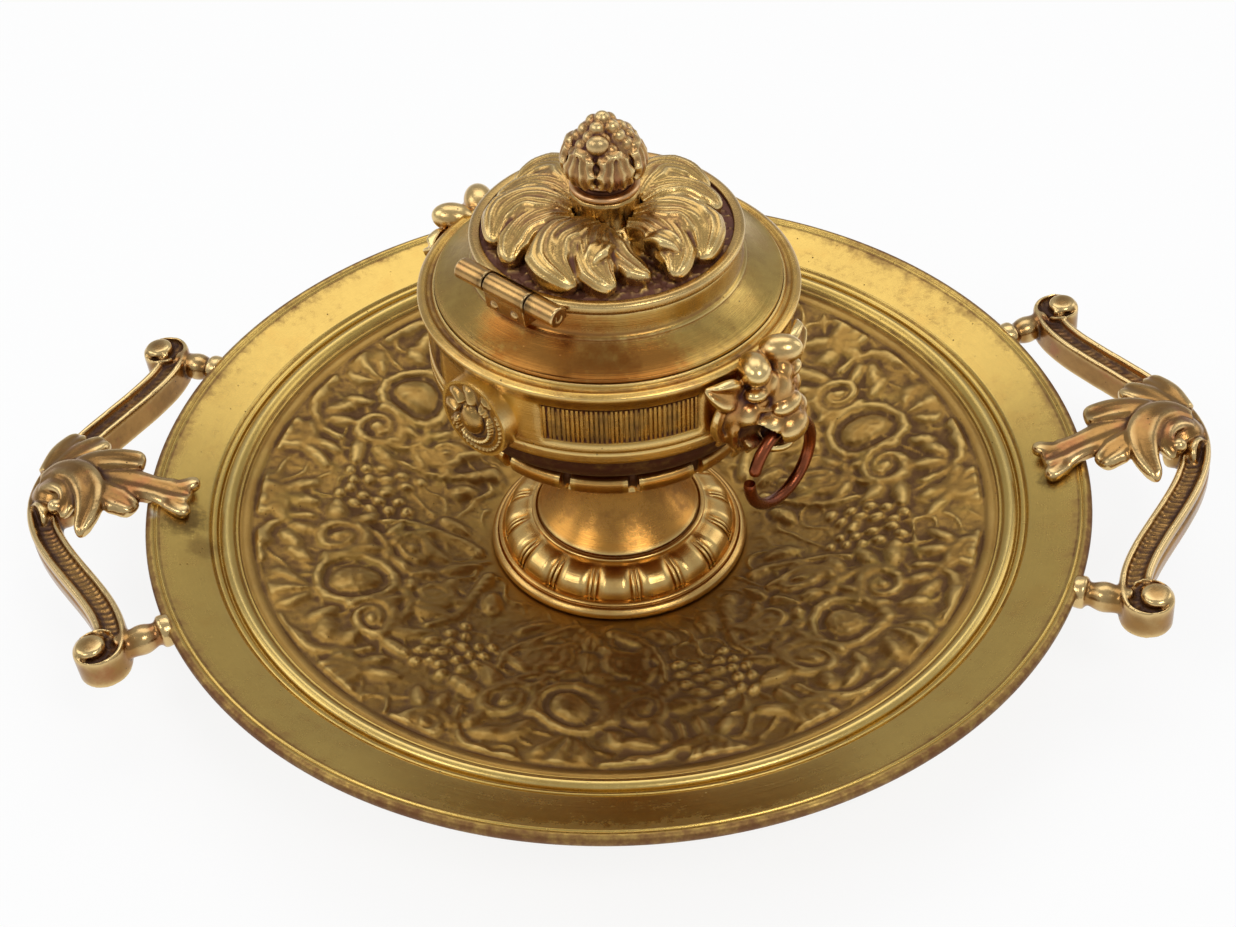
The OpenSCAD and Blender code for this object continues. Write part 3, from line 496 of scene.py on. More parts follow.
def field_height(x, y):
    """Height of the relief field, its motifs shifted a little so that no two repeats agree."""
    r0 = np.hypot(x, y)
    foliage = np.clip(0.75 - 1.5 * np.abs(ripple(x, y, 9, 11)), 0, 1) * (0.6 + 0.3 * ripple(x, y, 27, 12))
    x, y = x + 0.8 * ripple(x, y, 21, 3), y + 0.8 * ripple(x, y, 24, 4)
    r = np.hypot(x, y)
    part = 2 * math.pi / repeats
    a = (np.arctan2(x, -y) - math.radians(relief_first) + part / 2) % part - part / 2
    u, v = np.abs(r * np.sin(a)) / grid_step, (r * np.cos(a) - half_in) / grid_step
    i = np.clip(u.astype(int), 0, len(half_x) - 2)
    j = np.clip(v.astype(int), 0, len(half_y) - 2)
    p, q = u - i, np.clip(v - j, 0, 1)
    cast_h = ((1 - p) * (1 - q) * table[i, j] + p * (1 - q) * table[i + 1, j]
              + (1 - p) * q * table[i, j + 1] + p * q * table[i + 1, j + 1])
    cast_h = np.maximum(cast_h, 0.75 * foliage) + 0.12 * foliage
    worn = 1 + 0.2 * ripple(x, y, 31, 5)
    grit = 0.1 * pebbles(x, y, 1.1, 6) + 0.07 * pebbles(x, y, 3.7, 7)
    edge = np.clip((relief_out - 3.2 - r0) / 1.2, 0, 1) * np.clip((r0 - seat_r - 1) / 1.5, 0, 1)
    band = 0.35 * np.clip(1 - np.abs((relief_out - 1.7 - r0) / 1.3) ** 3, 0, 1)
    return seat_z + (r0 - seat_r) * field_slope + 0.05 + (cast_h * worn + grit) * edge + band


field_brass = aged_brass("field brass", (0.56, 0.37, 0.12), (0.33, 0.185, 0.045), (0.1, 0.04, 0.01),
                         0.34, pits=0.6, dirt_share=0.85, tint=(0.3, 0.19, 0.045), clouds=0.3)
field_sink = 0.9
field_around = 1040
half_around = field_around // 2
rings = np.arange(relief_in, relief_out + 0.2, 0.44).clip(max=relief_out)
bearings = math.pi / 2 + np.arange(field_around + 1) * 2 * math.pi / field_around
ring, bearing = np.meshgrid(rings, bearings, indexing="ij")
cast_height = field_height(ring * np.sin(bearing), -ring * np.cos(bearing))
cast_height[:, -1] = cast_height[:, 0]
calm = cast_height.copy()
soften(calm, 26, seam=True)
field_stand = (cast_height - calm) / 0.5
for name, half in (("field_relief_right", slice(half_around, field_around + 1)),
                   ("field_relief_left", slice(0, half_around + 1))):
    points, faces = sheet(rings, bearings[half], lambda x, y: cast_height[:, half],
                          lambda r: seat_z + (r - seat_r) * field_slope - field_sink)
    underside = np.zeros(2 * (half_around + 1))
    piece(make_mesh(name, points, faces), field_brass,
          relief=np.concatenate([field_stand[:, half].ravel(), underside]))

# ---------------------------------------------------------------- Handles
# Each handle is one brass casting: two curved channel arms with ribbed grooves, scrolled ends on bulged lugs,
# and acanthus leaves at the middle, one of which lies on the lip. They are pinned and soldered to the tray.

arm_w, arm_h = 7.0, 7.6
arm_top = tray_top + 0.3
neck_len, handle_reach = 14.8, 29.4
bend_out, bend_in = 0.38, 0.69
lug_turn = math.radians(24.4)
scroll_centre = (lip_edge + neck_len) * np.array([math.cos(lug_turn), math.sin(lug_turn)])
scroll_r, eye_r, eye_h, curl_r = 5.9, 3.3, 2.6, 4.0
apex_x = lip_edge + handle_reach
tilt_at = (lip_edge * math.cos(lug_turn), tray_top - lip_round)


def sweep(path, sections, ups=(0, 0, 1)):
    """Closed bar along a path. Each section is a loop of (across, up) points, all of one count."""
    path, sections = np.asarray(path, float), np.asarray(sections, float)
    if sections.ndim == 2:
        sections = np.repeat(sections[None], len(path), 0)
    ahead = np.gradient(path, axis=0)
    ahead /= np.linalg.norm(ahead, axis=1)[:, None].clip(1e-9)
    across = np.cross(ahead, np.broadcast_to(np.asarray(ups, float), path.shape))
    across /= np.linalg.norm(across, axis=1)[:, None].clip(1e-9)
    up = np.cross(across, ahead)
    points = path[:, None] + sections[..., :1] * across[:, None] + sections[..., 1:] * up[:, None]
    rows, columns = sections.shape[:2]
    faces = grid_faces(rows, columns, False, True)
    faces += [list(range(columns))[::-1], list(range((rows - 1) * columns, rows * columns))]
    return points.reshape(-1, 3), faces


def smooth_path(knots, steps):
    """Curve through knots, any number of values each, eased between them."""
    knots = np.asarray(knots, float)
    t = np.linspace(0, len(knots) - 1, steps)
    i = np.clip(t.astype(int), 0, len(knots) - 2)
    f = (t - i)[:, None]
    before, after = knots[np.clip(i - 1, 0, None)], knots[np.clip(i + 2, None, len(knots) - 1)]
    a, b = knots[i], knots[i + 1]
    return (a * (2 * f ** 3 - 3 * f * f + 1) + b * (3 * f * f - 2 * f ** 3)
            + (b - before) / 2 * (f ** 3 - 2 * f * f + f) + (after - a) / 2 * (f ** 3 - f * f))


def leaf(knots, thick, ribs=3, teeth=0, curl_edge=0.0, steps=60, ups=(0, 0, 1), hollow=0.25,
         deep=None, vein=0.17, blunt=0.0):
    """Acanthus lobe along knots (x, y, z, half width), with a sunk midrib, fanned veins and a toothed edge.

    blunt is the share of its length over which the end rounds off."""
    path = smooth_path(knots, steps)
    share = np.linspace(0, 1, steps)
    wide = path[:, 3] * (1 - 0.16 * np.abs(np.sin(share * math.pi * teeth)) if teeth else 1)
    close = np.sqrt(1 - np.clip((share - 1) / blunt + 1, 0, 0.985) ** 2) if blunt else np.ones(steps)
    d = np.linspace(-1, 1, 25)
    top = np.sqrt(1 - 0.92 * d * d) - hollow * np.exp(-(d / 0.3) ** 2)
    top = top[None] + vein * np.cos(2 * math.pi * ribs * (np.abs(d)[None] + 0.35 * share[:, None]))
    top = top * thick - curl_edge * d * d
    deep = 0.35 * thick if deep is None else deep
    low = -deep * np.sqrt(1 - 0.9 * d * d) - curl_edge * d * d
    sections = np.concatenate([
        np.stack([wide[:, None] * d, top * np.clip(wide / 2, 0.25, 1)[:, None]], -1),
        np.stack([wide[:, None] * d[::-1], np.repeat(low[None, ::-1], steps, 0)], -1)], 1)
    return sweep(path[:, :3], sections * close[:, None, None], ups)


def ball(centre, radii, turned=None):
    """Closed egg of given radii, turned by a 3 x 3 matrix."""
    a, b = np.meshgrid(np.linspace(0, math.pi, 17), np.arange(28) * 2 * math.pi / 28, indexing="ij")
    points = np.stack([np.sin(a) * np.cos(b), np.sin(a) * np.sin(b), np.cos(a)], -1).reshape(-1, 3) * radii
    if turned is not None:
        points = points @ np.asarray(turned).T
    return points + np.asarray(centre, float), grid_faces(17, 28, False, True)


def spun(outline, origin, axis, around=36):
    """Closed turned solid about an axis from origin; outline (r, along) starts and ends on the axis."""
    axis = np.asarray(axis, float) / np.linalg.norm(axis)
    side = np.cross(axis, (0, 0, 1) if abs(axis[2]) < 0.9 else (1, 0, 0))
    side /= np.linalg.norm(side)
    other = np.cross(axis, side)
    r, a = np.meshgrid(outline[:, 0], np.arange(around) * 2 * math.pi / around, indexing="ij")
    spoke = np.cos(a)[..., None] * side + np.sin(a)[..., None] * other
    points = np.asarray(origin, float) + r[..., None] * spoke + outline[:, 1][:, None, None] * axis
    return points.reshape(-1, 3), grid_faces(len(outline), around, False, True)


def mirrored(part, axis=1):
    points = part[0].copy()
    points[:, axis] *= -1
    return points, part[1]


def tilt_handle(points, degrees):
    """Turns points about the line through the lugs' inner ends, up for a positive angle."""
    c, s = math.cos(math.radians(degrees)), math.sin(math.radians(degrees))
    x, z = points[:, 0] - tilt_at[0], points[:, 2] - tilt_at[1]
    return np.stack([tilt_at[0] + c * x - s * z, points[:, 1], tilt_at[1] + s * x + c * z], 1)


def calm_mesh(mesh, rounds):
    """Relaxes a mesh a little, to take away the steps of the remesh."""
    work = bmesh.new()
    work.from_mesh(mesh)
    for _ in range(rounds):
        bmesh.ops.smooth_vert(work, verts=work.verts, factor=0.5, use_axis_x=True, use_axis_y=True,
                              use_axis_z=True)
    bmesh.ops.recalc_face_normals(work, faces=work.faces)
    work.to_mesh(mesh)
    work.free()


def joined(parts):
    """Points and faces of several closed parts as one."""
    points, faces = [], []
    for part_points, part_faces in parts:
        start = sum(len(p) for p in points)
        points.append(part_points)
        faces += [[v + start for v in face] for face in part_faces]
    return np.concatenate(points), faces


def plain_mesh(name, obj, *helpers):
    """Mesh of an object after its modifiers; the object and its helpers are taken away."""
    bpy.context.view_layer.update()
    done = bpy.data.meshes.new_from_object(obj.evaluated_get(bpy.context.evaluated_depsgraph_get()))
    for spent in (obj, *helpers):
        bpy.data.objects.remove(spent)
    done.name = name
    return done


def cast(name, parts, grain, rounds=2, cut=None):
    """One solid from overlapping closed parts, as a casting flows together. cut is taken out of it."""
    obj = added(name + "_rough", make_mesh(name + "_rough", *joined(parts)))
    skin = obj.modifiers.new("skin", "REMESH")
    skin.mode = "VOXEL"
    skin.voxel_size = grain
    tools = [added(name + "_cut", make_mesh(name + "_cut", *cut))] if cut else []
    for tool in tools:
        away = obj.modifiers.new("away", "BOOLEAN")
        away.operation, away.object = "DIFFERENCE", tool
    done = plain_mesh(name, obj, *tools)
    calm_mesh(done, rounds)
    return done


def arm_path(t):
    u = 1 - t
    end_x = scroll_centre[0] - scroll_r + arm_w / 2
    return np.stack([u * u * (u + 3 * t) * (apex_x - arm_w / 2) + t * t * (3 * u + t) * end_x,
                     scroll_centre[1] * (3 * u * u * t * bend_out + 3 * u * t * t * bend_in + t ** 3),
                     np.full_like(t, arm_top)], 1)


def arm(rib_height):
    """Channel band from the middle to its scrolled end, seen on the side of +Y."""
    band = arm_path(np.linspace(0, 1, 230))
    turn_in = np.linspace(0, 1, 130)[1:]
    half = np.concatenate([np.full(len(band), arm_w / 2), arm_w / 2 - 2.1 * np.clip(turn_in * 3, 0, 1)])
    angle = math.pi - turn_in * math.radians(300)
    reach = scroll_r - half[len(band):] - 1.2 * np.clip(turn_in * 2 - 1, 0, 1)
    path = np.concatenate([band, np.stack([scroll_centre[0] + reach * np.cos(angle),
                                           scroll_centre[1] + reach * np.sin(angle),
                                           arm_top + 0.5 * turn_in], 1)])
    run = np.concatenate([[0], np.cumsum(np.linalg.norm(np.diff(path, axis=0), axis=1))])
    loop = np.array([
        (3.2, -arm_h), (3.5, -7.2), (3.5, -3.9), (3.2, -3.5), (2.9, -3.3), (2.95, -2.7), (3.4, -2.3),
        (3.5, -0.8), (3.3, -0.1), (2.9, 0.3), (2.4, 0.34), (1.9, 0.05), (1.65, -0.7), (1.4, -1.35),
        (0.8, -1.5), (0, -1.5), (-0.8, -1.45), (-1.4, -1.3), (-1.8, -0.6), (-2.1, 0), (-2.5, 0.28),
        (-2.9, 0.25), (-3.3, -0.1), (-3.5, -0.8), (-3.5, -7.2), (-3.2, -arm_h)])
    sections = np.repeat(loop[None], len(path), 0)
    for index, share in zip(range(13, 18), (0.15, 0.5, 0.9, 1, 0.9)):
        slanted = run + 0.55 * loop[index, 0] + 0.5 * np.sin(run / 3)
        sections[:, index, 1] += rib_height * share * (0.5 + 0.5 * np.cos(2 * math.pi * slanted / 1.7)) ** 1.3
    sections[..., 0] *= (half / 3.5)[:, None]
    return sweep(path, sections)


def lug():
    """Bulged neck between the lip and the scroll, with a junction ring at the lip."""
    reach = np.array([math.cos(lug_turn), math.sin(lug_turn), 0])
    profile = fillet([(0, -1.5), (3.6, -1.5, 0.5), (3.8, 0.6, 0.6), (3.7, 1.3, 0.5), (2.6, 1.9, 0.6),
                      (2.7, 2.6, 0.8), (3.6, 5.2, 2), (3.0, 8.4, 1), (3.3, 11.5, 1), (0, 12)], 6)
    return spun(profile, reach * lip_edge + [0, 0, tray_top - lip_round - 1.2], reach)


def handle_parts():
    """The right handle, level: its arms, scrolls and lugs, and the acanthus leaves at its middle."""
    outward = [eye_r * 0.5, eye_r * 0.2, 0]
    centre = np.array([*scroll_centre, 0])
    ends = [lug(),
            spun(fillet([(0, 0), (5.2, 0, 0.4), (5.2, arm_h - 3.2, 0.3), (0, arm_h - 3.2)]),
                 centre + [0, 0, arm_top - arm_h], (0, 0, 1), 48),
            spun(fillet([(0, 0), (eye_r, 0), (eye_r - 0.1, arm_h - 1, 0.6),
                         (eye_r + 0.2, arm_h + eye_h - 1.7, 0.6), (eye_r - 0.5, arm_h + eye_h - 1.0, 0.9),
                         (0, arm_h + eye_h - 0.8)]),
                 centre + outward + [0, 0, arm_top - arm_h], (0, 0, 1), 48)]
    parts = [arm(0.3), mirrored(arm(0.62)), *ends] + [mirrored(part) for part in ends]
    # Acanthus sleeve that grips the back arm
    t = np.linspace(0.01, 0.3, 90)
    around = np.linspace(0, 2 * math.pi, 64, endpoint=False)
    shell = np.stack([3.75 * np.cos(around), 4.3 * np.sin(around) - 3.2], 1)
    swell = 0.94 + 0.14 * np.sin((t - 0.01) / 0.29 * math.pi * 0.8)
    close = np.clip((0.3 - t) / 0.012, 0.86, 1)
    flutes = 1 + 0.03 * np.cos(around * 7)
    sleeve = shell[None] * (swell * close)[:, None, None] * flutes[None, :, None]
    parts.append(sweep(arm_path(t) - [0.45, 0, 0], sleeve))
    parts.append(ball((134.0, 0, 27.0), (6.2, 6.0, 5.2)))
    lobes = (
        # Two blunt lobes and, between them, the tongue that lies on the lip and splits at its tip
        ([(132, 3, 31.4, 2.4), (126, 4.6, 32.6, 3.4), (120, 5.4, 32.2, 3.8), (115.8, 5.6, 31.0, 3.9),
          (112.8, 5.5, 29.8, 3.7)], 2.3, 0, 1.2, 0.2, 0.2),
        ([(131, 0.6, 31.6, 2.4), (125.4, -2.8, 32.2, 3.6), (120, -5.8, 31.4, 4.1), (116.2, -8.0, 30.2, 4.0),
          (113.2, -9.8, 28.8, 3.4)], 2.3, 3, 1.2, 0.2, 0.25),
        ([(128, -0.2, 31.8, 2.8), (120, -0.8, 31.6, 4.4), (113.5, -2.0, 30.4, 5.0), (108, -3.1, 28.9, 4.7),
          (104, -3.9, 27.7, 4.9), (101.2, -4.3, 26.9, 4.5)], 1.8, 3, 2.4, 0.1, 0.42),
        ([(106, -2.0, 28.2, 2.3), (102.4, -0.8, 27.7, 2.2), (99.4, 0.4, 27.9, 1.7)],
         1.6, 0, 1.8, 0.35, 0.1),
        ([(106, -6.4, 27.8, 2.3), (103.2, -8.3, 27.1, 2.2), (101.0, -9.7, 26.6, 1.6)],
         1.6, 0, 1.6, 0.35, 0.1),
        # Scalloped ends of the sleeve
        ([(134, 5.6, 30.8, 2.6), (129.4, 10.0, 31.4, 3.5), (125.8, 13.2, 30.9, 3.4),
          (123.6, 15.4, 29.8, 2.8)], 1.9, 0, 1.4, 0.28, 0.3),
        ([(137, 5.6, 30.0, 2.4), (134.2, 11.2, 31.0, 3.3), (131.8, 15.8, 30.5, 3.2),
          (130.4, 18.6, 29.6, 2.5)], 1.9, 0, 1.4, 0.28, 0.3),
        # Sheath that arches over the front arm, with a second leaf curled inside it
        ([(137, 2.8, 30.2, 2.6), (132.4, 3.0, 32.8, 3.4), (127.2, 0.4, 33.8, 3.9), (124.0, -4.8, 33.2, 4.0),
          (123.6, -10.2, 31.6, 3.4), (124.6, -14.6, 30.0, 2.3), (125.2, -17.2, 29.0, 1.1)],
         1.9, 0, 1.0, 0.15, 0.3),
        ([(136.6, -0.4, 30.8, 1.8), (133, -1.2, 32.6, 2.2), (129.8, -4.0, 32.8, 2.2),
          (129.2, -8.0, 31.4, 1.9), (130.4, -10.8, 29.8, 1.3)], 1.4, 0, 1.0, 0.2, 0.3))
    for knots, thick, teeth, deep, blunt, hollow in lobes:
        parts.append(leaf(knots, thick, 1, teeth, 0.35, deep=deep, vein=0.07, blunt=blunt, hollow=hollow))
    parts.append(ball((132.0, -7.8, 31.2), (1.9, 1.9, 1.9)))
    # Rolled end of the front arm, its coin-like face turned outwards
    roll = fillet([(0, -8), (3.2, -8, 0.6), (3.9, -2, 1), (curl_r + 0.2, 0.5, 0.4), (curl_r - 0.5, 1.0, 0.3),
                   (curl_r - 0.9, 0.5, 0.3), (0, 0.5)])
    parts.append(spun(roll, (137.4, -6.6, 26.8), (0.8, -0.5, 0.33)))
    return parts


handle_brass = aged_brass("handle brass", (0.76, 0.55, 0.25), (0.36, 0.195, 0.062), (0.055, 0.02, 0.008),
                          0.2, pits=0.22, tint=(0.32, 0.12, 0.05))
level = handle_parts()
for name, sign, tilt in (("handle_right", 1, 4), ("handle_left", -1, -4)):
    parts = [(tilt_handle(points, tilt) * [sign, 1, 1], faces) for points, faces in level]
    piece(cast(name + "_cast", parts, 0.34, 3), handle_brass, nodes=[name], relief=(60, 0.6))

# ---------------------------------------------------------------- Foot of the urn
# Cast and turned trumpet foot. Sixteen gadroons swell round its base, each parted from the next by a pair of
# fine fillets, and the flare above them is plain and polished.

foot_r, foot_h, flare_r, waist_r, hub_r = 31.0, 9.6, 19.1, 7.6, 10.6
gadroons, gadroon_first = 16, 7.5
stem_z = seat_z + foot_h + 0.7
collar_z = seat_z + 35.3


def stem_at(u):
    return waist_r + (flare_r - waist_r) * (1 - u) ** 2.6 + (hub_r - waist_r) * u ** 3


foot_base = fillet([
    (2.6, seat_z + 3), (foot_r - 7, seat_z - 0.4),
    *offset_from(foot_r, seat_z, (-1, -0.1, 0.3), (0.1, 0.2, 0.6), (0.05, 1.6, 0.9), (-1.1, 2.5, 0.8),
                 (-1.9, 2.0, 0.4), (-2.1, 2.3, 0.3), (-1.5, 2.9, 0.4), (-2.4, 3.4, 0.4), (-3.0, 3.0, 0.3))])
foot_waist = fillet([(flare_r + 1.9, seat_z + foot_h - 1.2, 0.3), (flare_r + 1.9, seat_z + foot_h + 0.1, 0.5),
                     (flare_r + 0.9, seat_z + foot_h + 0.2, 0.5), (flare_r + 0.5, seat_z + foot_h - 0.7, 0.3),
                     (flare_r + 0.1, seat_z + foot_h - 0.7, 0.3), (flare_r, stem_z - 0.1, 0.4)])
belly_turn = np.radians(np.linspace(-10, 84, 18))
belly = np.stack([foot_r - 9.6 + 6.5 * np.cos(belly_turn), seat_z + 3.2 + 5.3 * np.sin(belly_turn)], 1)
rise = np.linspace(0, 1, 40)
stem = np.stack([stem_at(rise), stem_z + (collar_z - stem_z) * rise], 1)
foot_outline = np.concatenate([foot_base, belly, foot_waist, stem, [(2.6, collar_z)]])


def gadroon_swell(r, z, a):
    """Presses the valleys between the gadroons inwards."""
    on_belly = np.zeros(len(r))
    first = len(foot_base)
    on_belly[first:first + len(belly)] = np.sin(np.linspace(0.25, math.pi - 0.1, len(belly))) ** 0.6
    valley = np.abs(np.sin((a - math.radians(gadroon_first)) * gadroons / 2))
    press = (1 - np.clip((valley - 0.34) / 0.45, 0, 1) ** 0.55) * on_belly[:, None]
    return r - 0.7 * press, z - 0.95 * press


foot_brass = aged_brass("foot brass", (0.74, 0.51, 0.19), (0.49, 0.235, 0.05), (0.1, 0.034, 0.01),
                        0.24, turned=0.03, pits=0.03, clouds=0.1)
piece(turned_mesh("foot", foot_outline, 384, gadroon_swell), foot_brass, nodes=["pedestal"],
      relief=(16, 0.25))


def repeat_round(name, seed_mesh, angles):
    """Plain mesh of a seed set round the urn's axis at each angle in degrees, made with geometry nodes."""
    seed = added(name + "_seed", seed_mesh)
    carrier = added(name, bpy.data.meshes.new(name))
    carrier.data.from_pydata([(0, 0, 0)] * len(angles), [], [])
    bearings = carrier.data.attributes.new("bearing", "FLOAT", "POINT")
    bearings.data.foreach_set("value", np.radians(angles).astype(np.float32))
    tree = bpy.data.node_groups.new(name, "GeometryNodeTree")
    tree.interface.new_socket("Geometry", in_out="INPUT", socket_type="NodeSocketGeometry")
    tree.interface.new_socket("Geometry", in_out="OUTPUT", socket_type="NodeSocketGeometry")
    seed_socket = tree.interface.new_socket("Seed", in_out="INPUT", socket_type="NodeSocketObject")
    size_socket = tree.interface.new_socket("Size", in_out="INPUT", socket_type="NodeSocketFloat")

    def node(kind, links, settings=None):
        made = tree.nodes.new(kind)
        for key, value in (settings or {}).items():
            setattr(made, key, value)
        for key, value in links.items():
            if isinstance(value, bpy.types.NodeSocket):
                tree.links.new(value, made.inputs[key])
            else:
                made.inputs[key].default_value = value
        return made.outputs

    given = node("NodeGroupInput", {})
    bearing = node("GeometryNodeInputNamedAttribute", {"Name": "bearing"}, {"data_type": "FLOAT"})
    turn_by = node("ShaderNodeCombineXYZ", {"Z": bearing[0]})
    shape = node("GeometryNodeObjectInfo", {"Object": given["Seed"]})
    spot = node("GeometryNodeMeshToPoints", {"Mesh": given["Geometry"]})
    copies = node("GeometryNodeInstanceOnPoints", {
        "Points": spot[0], "Instance": shape["Geometry"], "Rotation": turn_by[0], "Scale": given["Size"]})
    real = node("GeometryNodeRealizeInstances", {"Geometry": copies[0]})
    coat = node("GeometryNodeSetMaterial", {"Geometry": real[0]})
    tree.links.new(coat[0], tree.nodes.new("NodeGroupOutput").inputs[0])
    live = carrier.modifiers.new("repeat", "NODES")
    live.node_group = tree
    live[seed_socket.identifier] = seed
    live[size_socket.identifier] = 1.0
    return plain_mesh(name, carrier, seed)


def wire(path, radius, ups=(0, 0, 1), around=10):
    """Round bar along a path; radius may be one value for each point."""
    a = np.linspace(0, 2 * math.pi, around, endpoint=False)
    loop = np.stack([np.cos(a), np.sin(a)], 1)
    return sweep(path, loop[None] * np.broadcast_to(radius, len(path))[:, None, None], ups)


fillet_turn = np.radians(np.linspace(-4, 86, 20))
fillet_ends = np.sin(np.linspace(0.12, math.pi - 0.12, 20)) ** 0.5
fillet_pair = []
for side in (-0.64, 0.64):
    reach, height = foot_r - 10.0 + 6.4 * np.cos(fillet_turn), seat_z + 2.6 + 5.3 * np.sin(fillet_turn)
    fillet_pair.append(wire(np.stack([side * (0.6 + 0.4 * reach / foot_r) + 0 * reach, -reach, height], 1),
                            0.42 * fillet_ends, (1, 0, 0), 8))
pairs = repeat_round("gadroon_fillets", make_mesh("fillet_pair", *joined(fillet_pair)),
                     gadroon_first + np.arange(gadroons) * 360 / gadroons)
piece(pairs, foot_brass, relief=np.full(len(pairs.vertices), 0.9))

# ---------------------------------------------------------------- Notched collar
# Dished disc on the stem. Its thick rim has fourteen rounded notches filed into it, which are bright on their
# edges and dark inside.

collar_r, dish_h, band_h = 34.4, 6.7, 4.6
band_z = collar_z + dish_h
bowl_z = band_z + band_h
notches, notch_w, notch_d = 14, 1.7, 2.4

dish_turn = np.radians(np.linspace(6, 90, 14))
dish = np.stack([hub_r + (collar_r - 3 - hub_r) * np.sin(dish_turn),
                 band_z - 0.5 - (dish_h - 0.5) * np.cos(dish_turn)], 1)
rim_section = fillet([(collar_r - 2.6, band_z - 0.6), (collar_r - 1.3, band_z - 0.2, 0.5),
                      (collar_r - 0.7, band_z + 0.5, 0.5), (collar_r, band_z + band_h * 0.5, 1.2),
                      (collar_r - 0.3, bowl_z - 0.7, 0.8), (collar_r - 1.5, bowl_z, 0.4),
                      (collar_r - 4, bowl_z)], 7)
collar_outline = np.concatenate([[(2.6, collar_z)], dish, refined(rim_section, 0.5, False), [(2.6, bowl_z)]])


def file_notches(r, z, a):
    part = 2 * math.pi / notches
    off = np.abs((a - math.radians(6) + part / 2) % part - part / 2) * collar_r
    inside = np.clip(1 - (off / (notch_w / 2 + 0.35)) ** 3.2, 0, 1) ** 0.4
    on_rim = np.clip((r - (collar_r - 4.2)) / 1.5, 0, 1)
    return r - notch_d * inside * on_rim, z


piece(turned_mesh("notched_rim", collar_outline, notches * 60, file_notches), foot_brass,
      nodes=["notched_collar"], relief=(20, 0.22))

# ---------------------------------------------------------------- Bowl of the urn
# Turned drum with a frieze of four sunk panels, each filled with fine upright ribs that are dark between,
# and above it a flared rim.

bowl_r, bowl_h, rim_over, bowl_wall = 41.0, 30.7, 1.3, 2.5
cover_r = bowl_r - 2.6
drum_z = bowl_z + 10.9
panel_z, panel_h, panel_d, panel_span = drum_z + 5.1, 9.4, 0.75, 49.0
shoulder_z = panel_z + panel_h + 0.4
cover_z = bowl_z + bowl_h
lip_z = cover_z - 1.3
hinge_az = -43.0
mask_z = bowl_z + 17.7
bowl_in_r = bowl_r - bowl_wall

under_turn = np.radians(np.linspace(10, 88, 12))
under_curve = np.stack([collar_r - 3.6 + (bowl_r - collar_r + 2.2) * np.sin(under_turn),
                        drum_z - 0.9 - 8.5 * np.cos(under_turn)], 1)
bowl_outline = np.concatenate([
    [(2.6, bowl_z), (collar_r - 4, bowl_z), (collar_r - 3.9, bowl_z + 0.8)], under_curve,
    refined(fillet([(bowl_r - 0.9, drum_z - 0.4), (bowl_r - 0.2, drum_z - 0.1, 0.3),
                    (bowl_r, drum_z + 0.6, 0.3), (bowl_r, drum_z + 2.6), (bowl_r - 0.25, drum_z + 2.9, 0.15),
                    (bowl_r, drum_z + 3.2), (bowl_r, shoulder_z, 0.4), (bowl_r + 0.3, shoulder_z + 1, 0.8),
                    (bowl_r + rim_over, lip_z - 0.7, 0.5), (bowl_r + rim_over, lip_z + 0.2, 0.3),
                    (bowl_r + rim_over - 0.9, lip_z + 0.85, 0.4), (cover_r + 2.3, lip_z + 0.9, 0.4),
                    (cover_r + 1.5, lip_z + 0.35, 0.4), (cover_r + 0.9, lip_z + 0.4, 0.3),
                    (cover_r + 0.35, cover_z, 0.2), (bowl_in_r, cover_z)]), 0.6, False),
    [(bowl_in_r, drum_z + 2), (collar_r - 7, bowl_z + 4.7), (2.6, bowl_z + 4.7)]])


def sink_panels(r, z, a):
    off = np.abs((np.degrees(a) - (hinge_az + 45) + 45) % 90 - 45)
    beside = np.clip((panel_span / 2 - off) / 0.9, 0, 1)
    above = np.clip((np.minimum(z - panel_z, panel_z + panel_h - z)) / 0.55 + 0.5, 0, 1)
    on_side = (r > bowl_r - 0.4) & (z < shoulder_z)
    return r - panel_d * beside * above * on_side, z


bowl_brass = aged_brass("bowl brass", (0.78, 0.55, 0.21), (0.62, 0.37, 0.09), (0.085, 0.021, 0.007),
                        0.24, turned=0.05, pits=0.2, tint=(0.34, 0.14, 0.035))
bowl_body = turned_mesh("bowl_body", bowl_outline, 480, sink_panels)
# Painted shade darkens the whole hollow under the drum, as a deeper groove would lie in shadow
bowl_wear_and_shade = stand_of(bowl_body, 18, 0.2)
bowl_wear_and_shade[points_of(bowl_body)[:, 2] < drum_z - 0.7] = -0.75
piece(bowl_body, bowl_brass, nodes=["bowl"], relief=bowl_wear_and_shade)

rib_count = 33
rng = np.random.default_rng(8)
rib_reach = panel_span / 2 - 1.2
rib_angles = np.concatenate([hinge_az + 45 + 90 * k + np.linspace(-rib_reach, rib_reach, rib_count)
                             + rng.uniform(-0.22, 0.22, rib_count) for k in range(4)])
rib_height = np.linspace(0.35, panel_h - 0.35, 8)
rib_path = np.stack([0 * rib_height, 0 * rib_height - (bowl_r - panel_d + 0.08), panel_z + rib_height], 1)
rib_taper = np.sin(np.linspace(0.35, math.pi - 0.35, 8)) ** 0.35
rib = make_mesh("rib", *wire(rib_path, 0.5 * rib_taper, (1, 0, 0), 8))
ribs = repeat_round("frieze_ribs", rib, rib_angles)
places = points_of(ribs)
bearing_of = np.degrees(np.arctan2(places[:, 0], -places[:, 1]))
piece(ribs, bowl_brass, relief=-0.2 + 0.4 * ripple(bearing_of, places[:, 2] * 0.2, 9, 31))
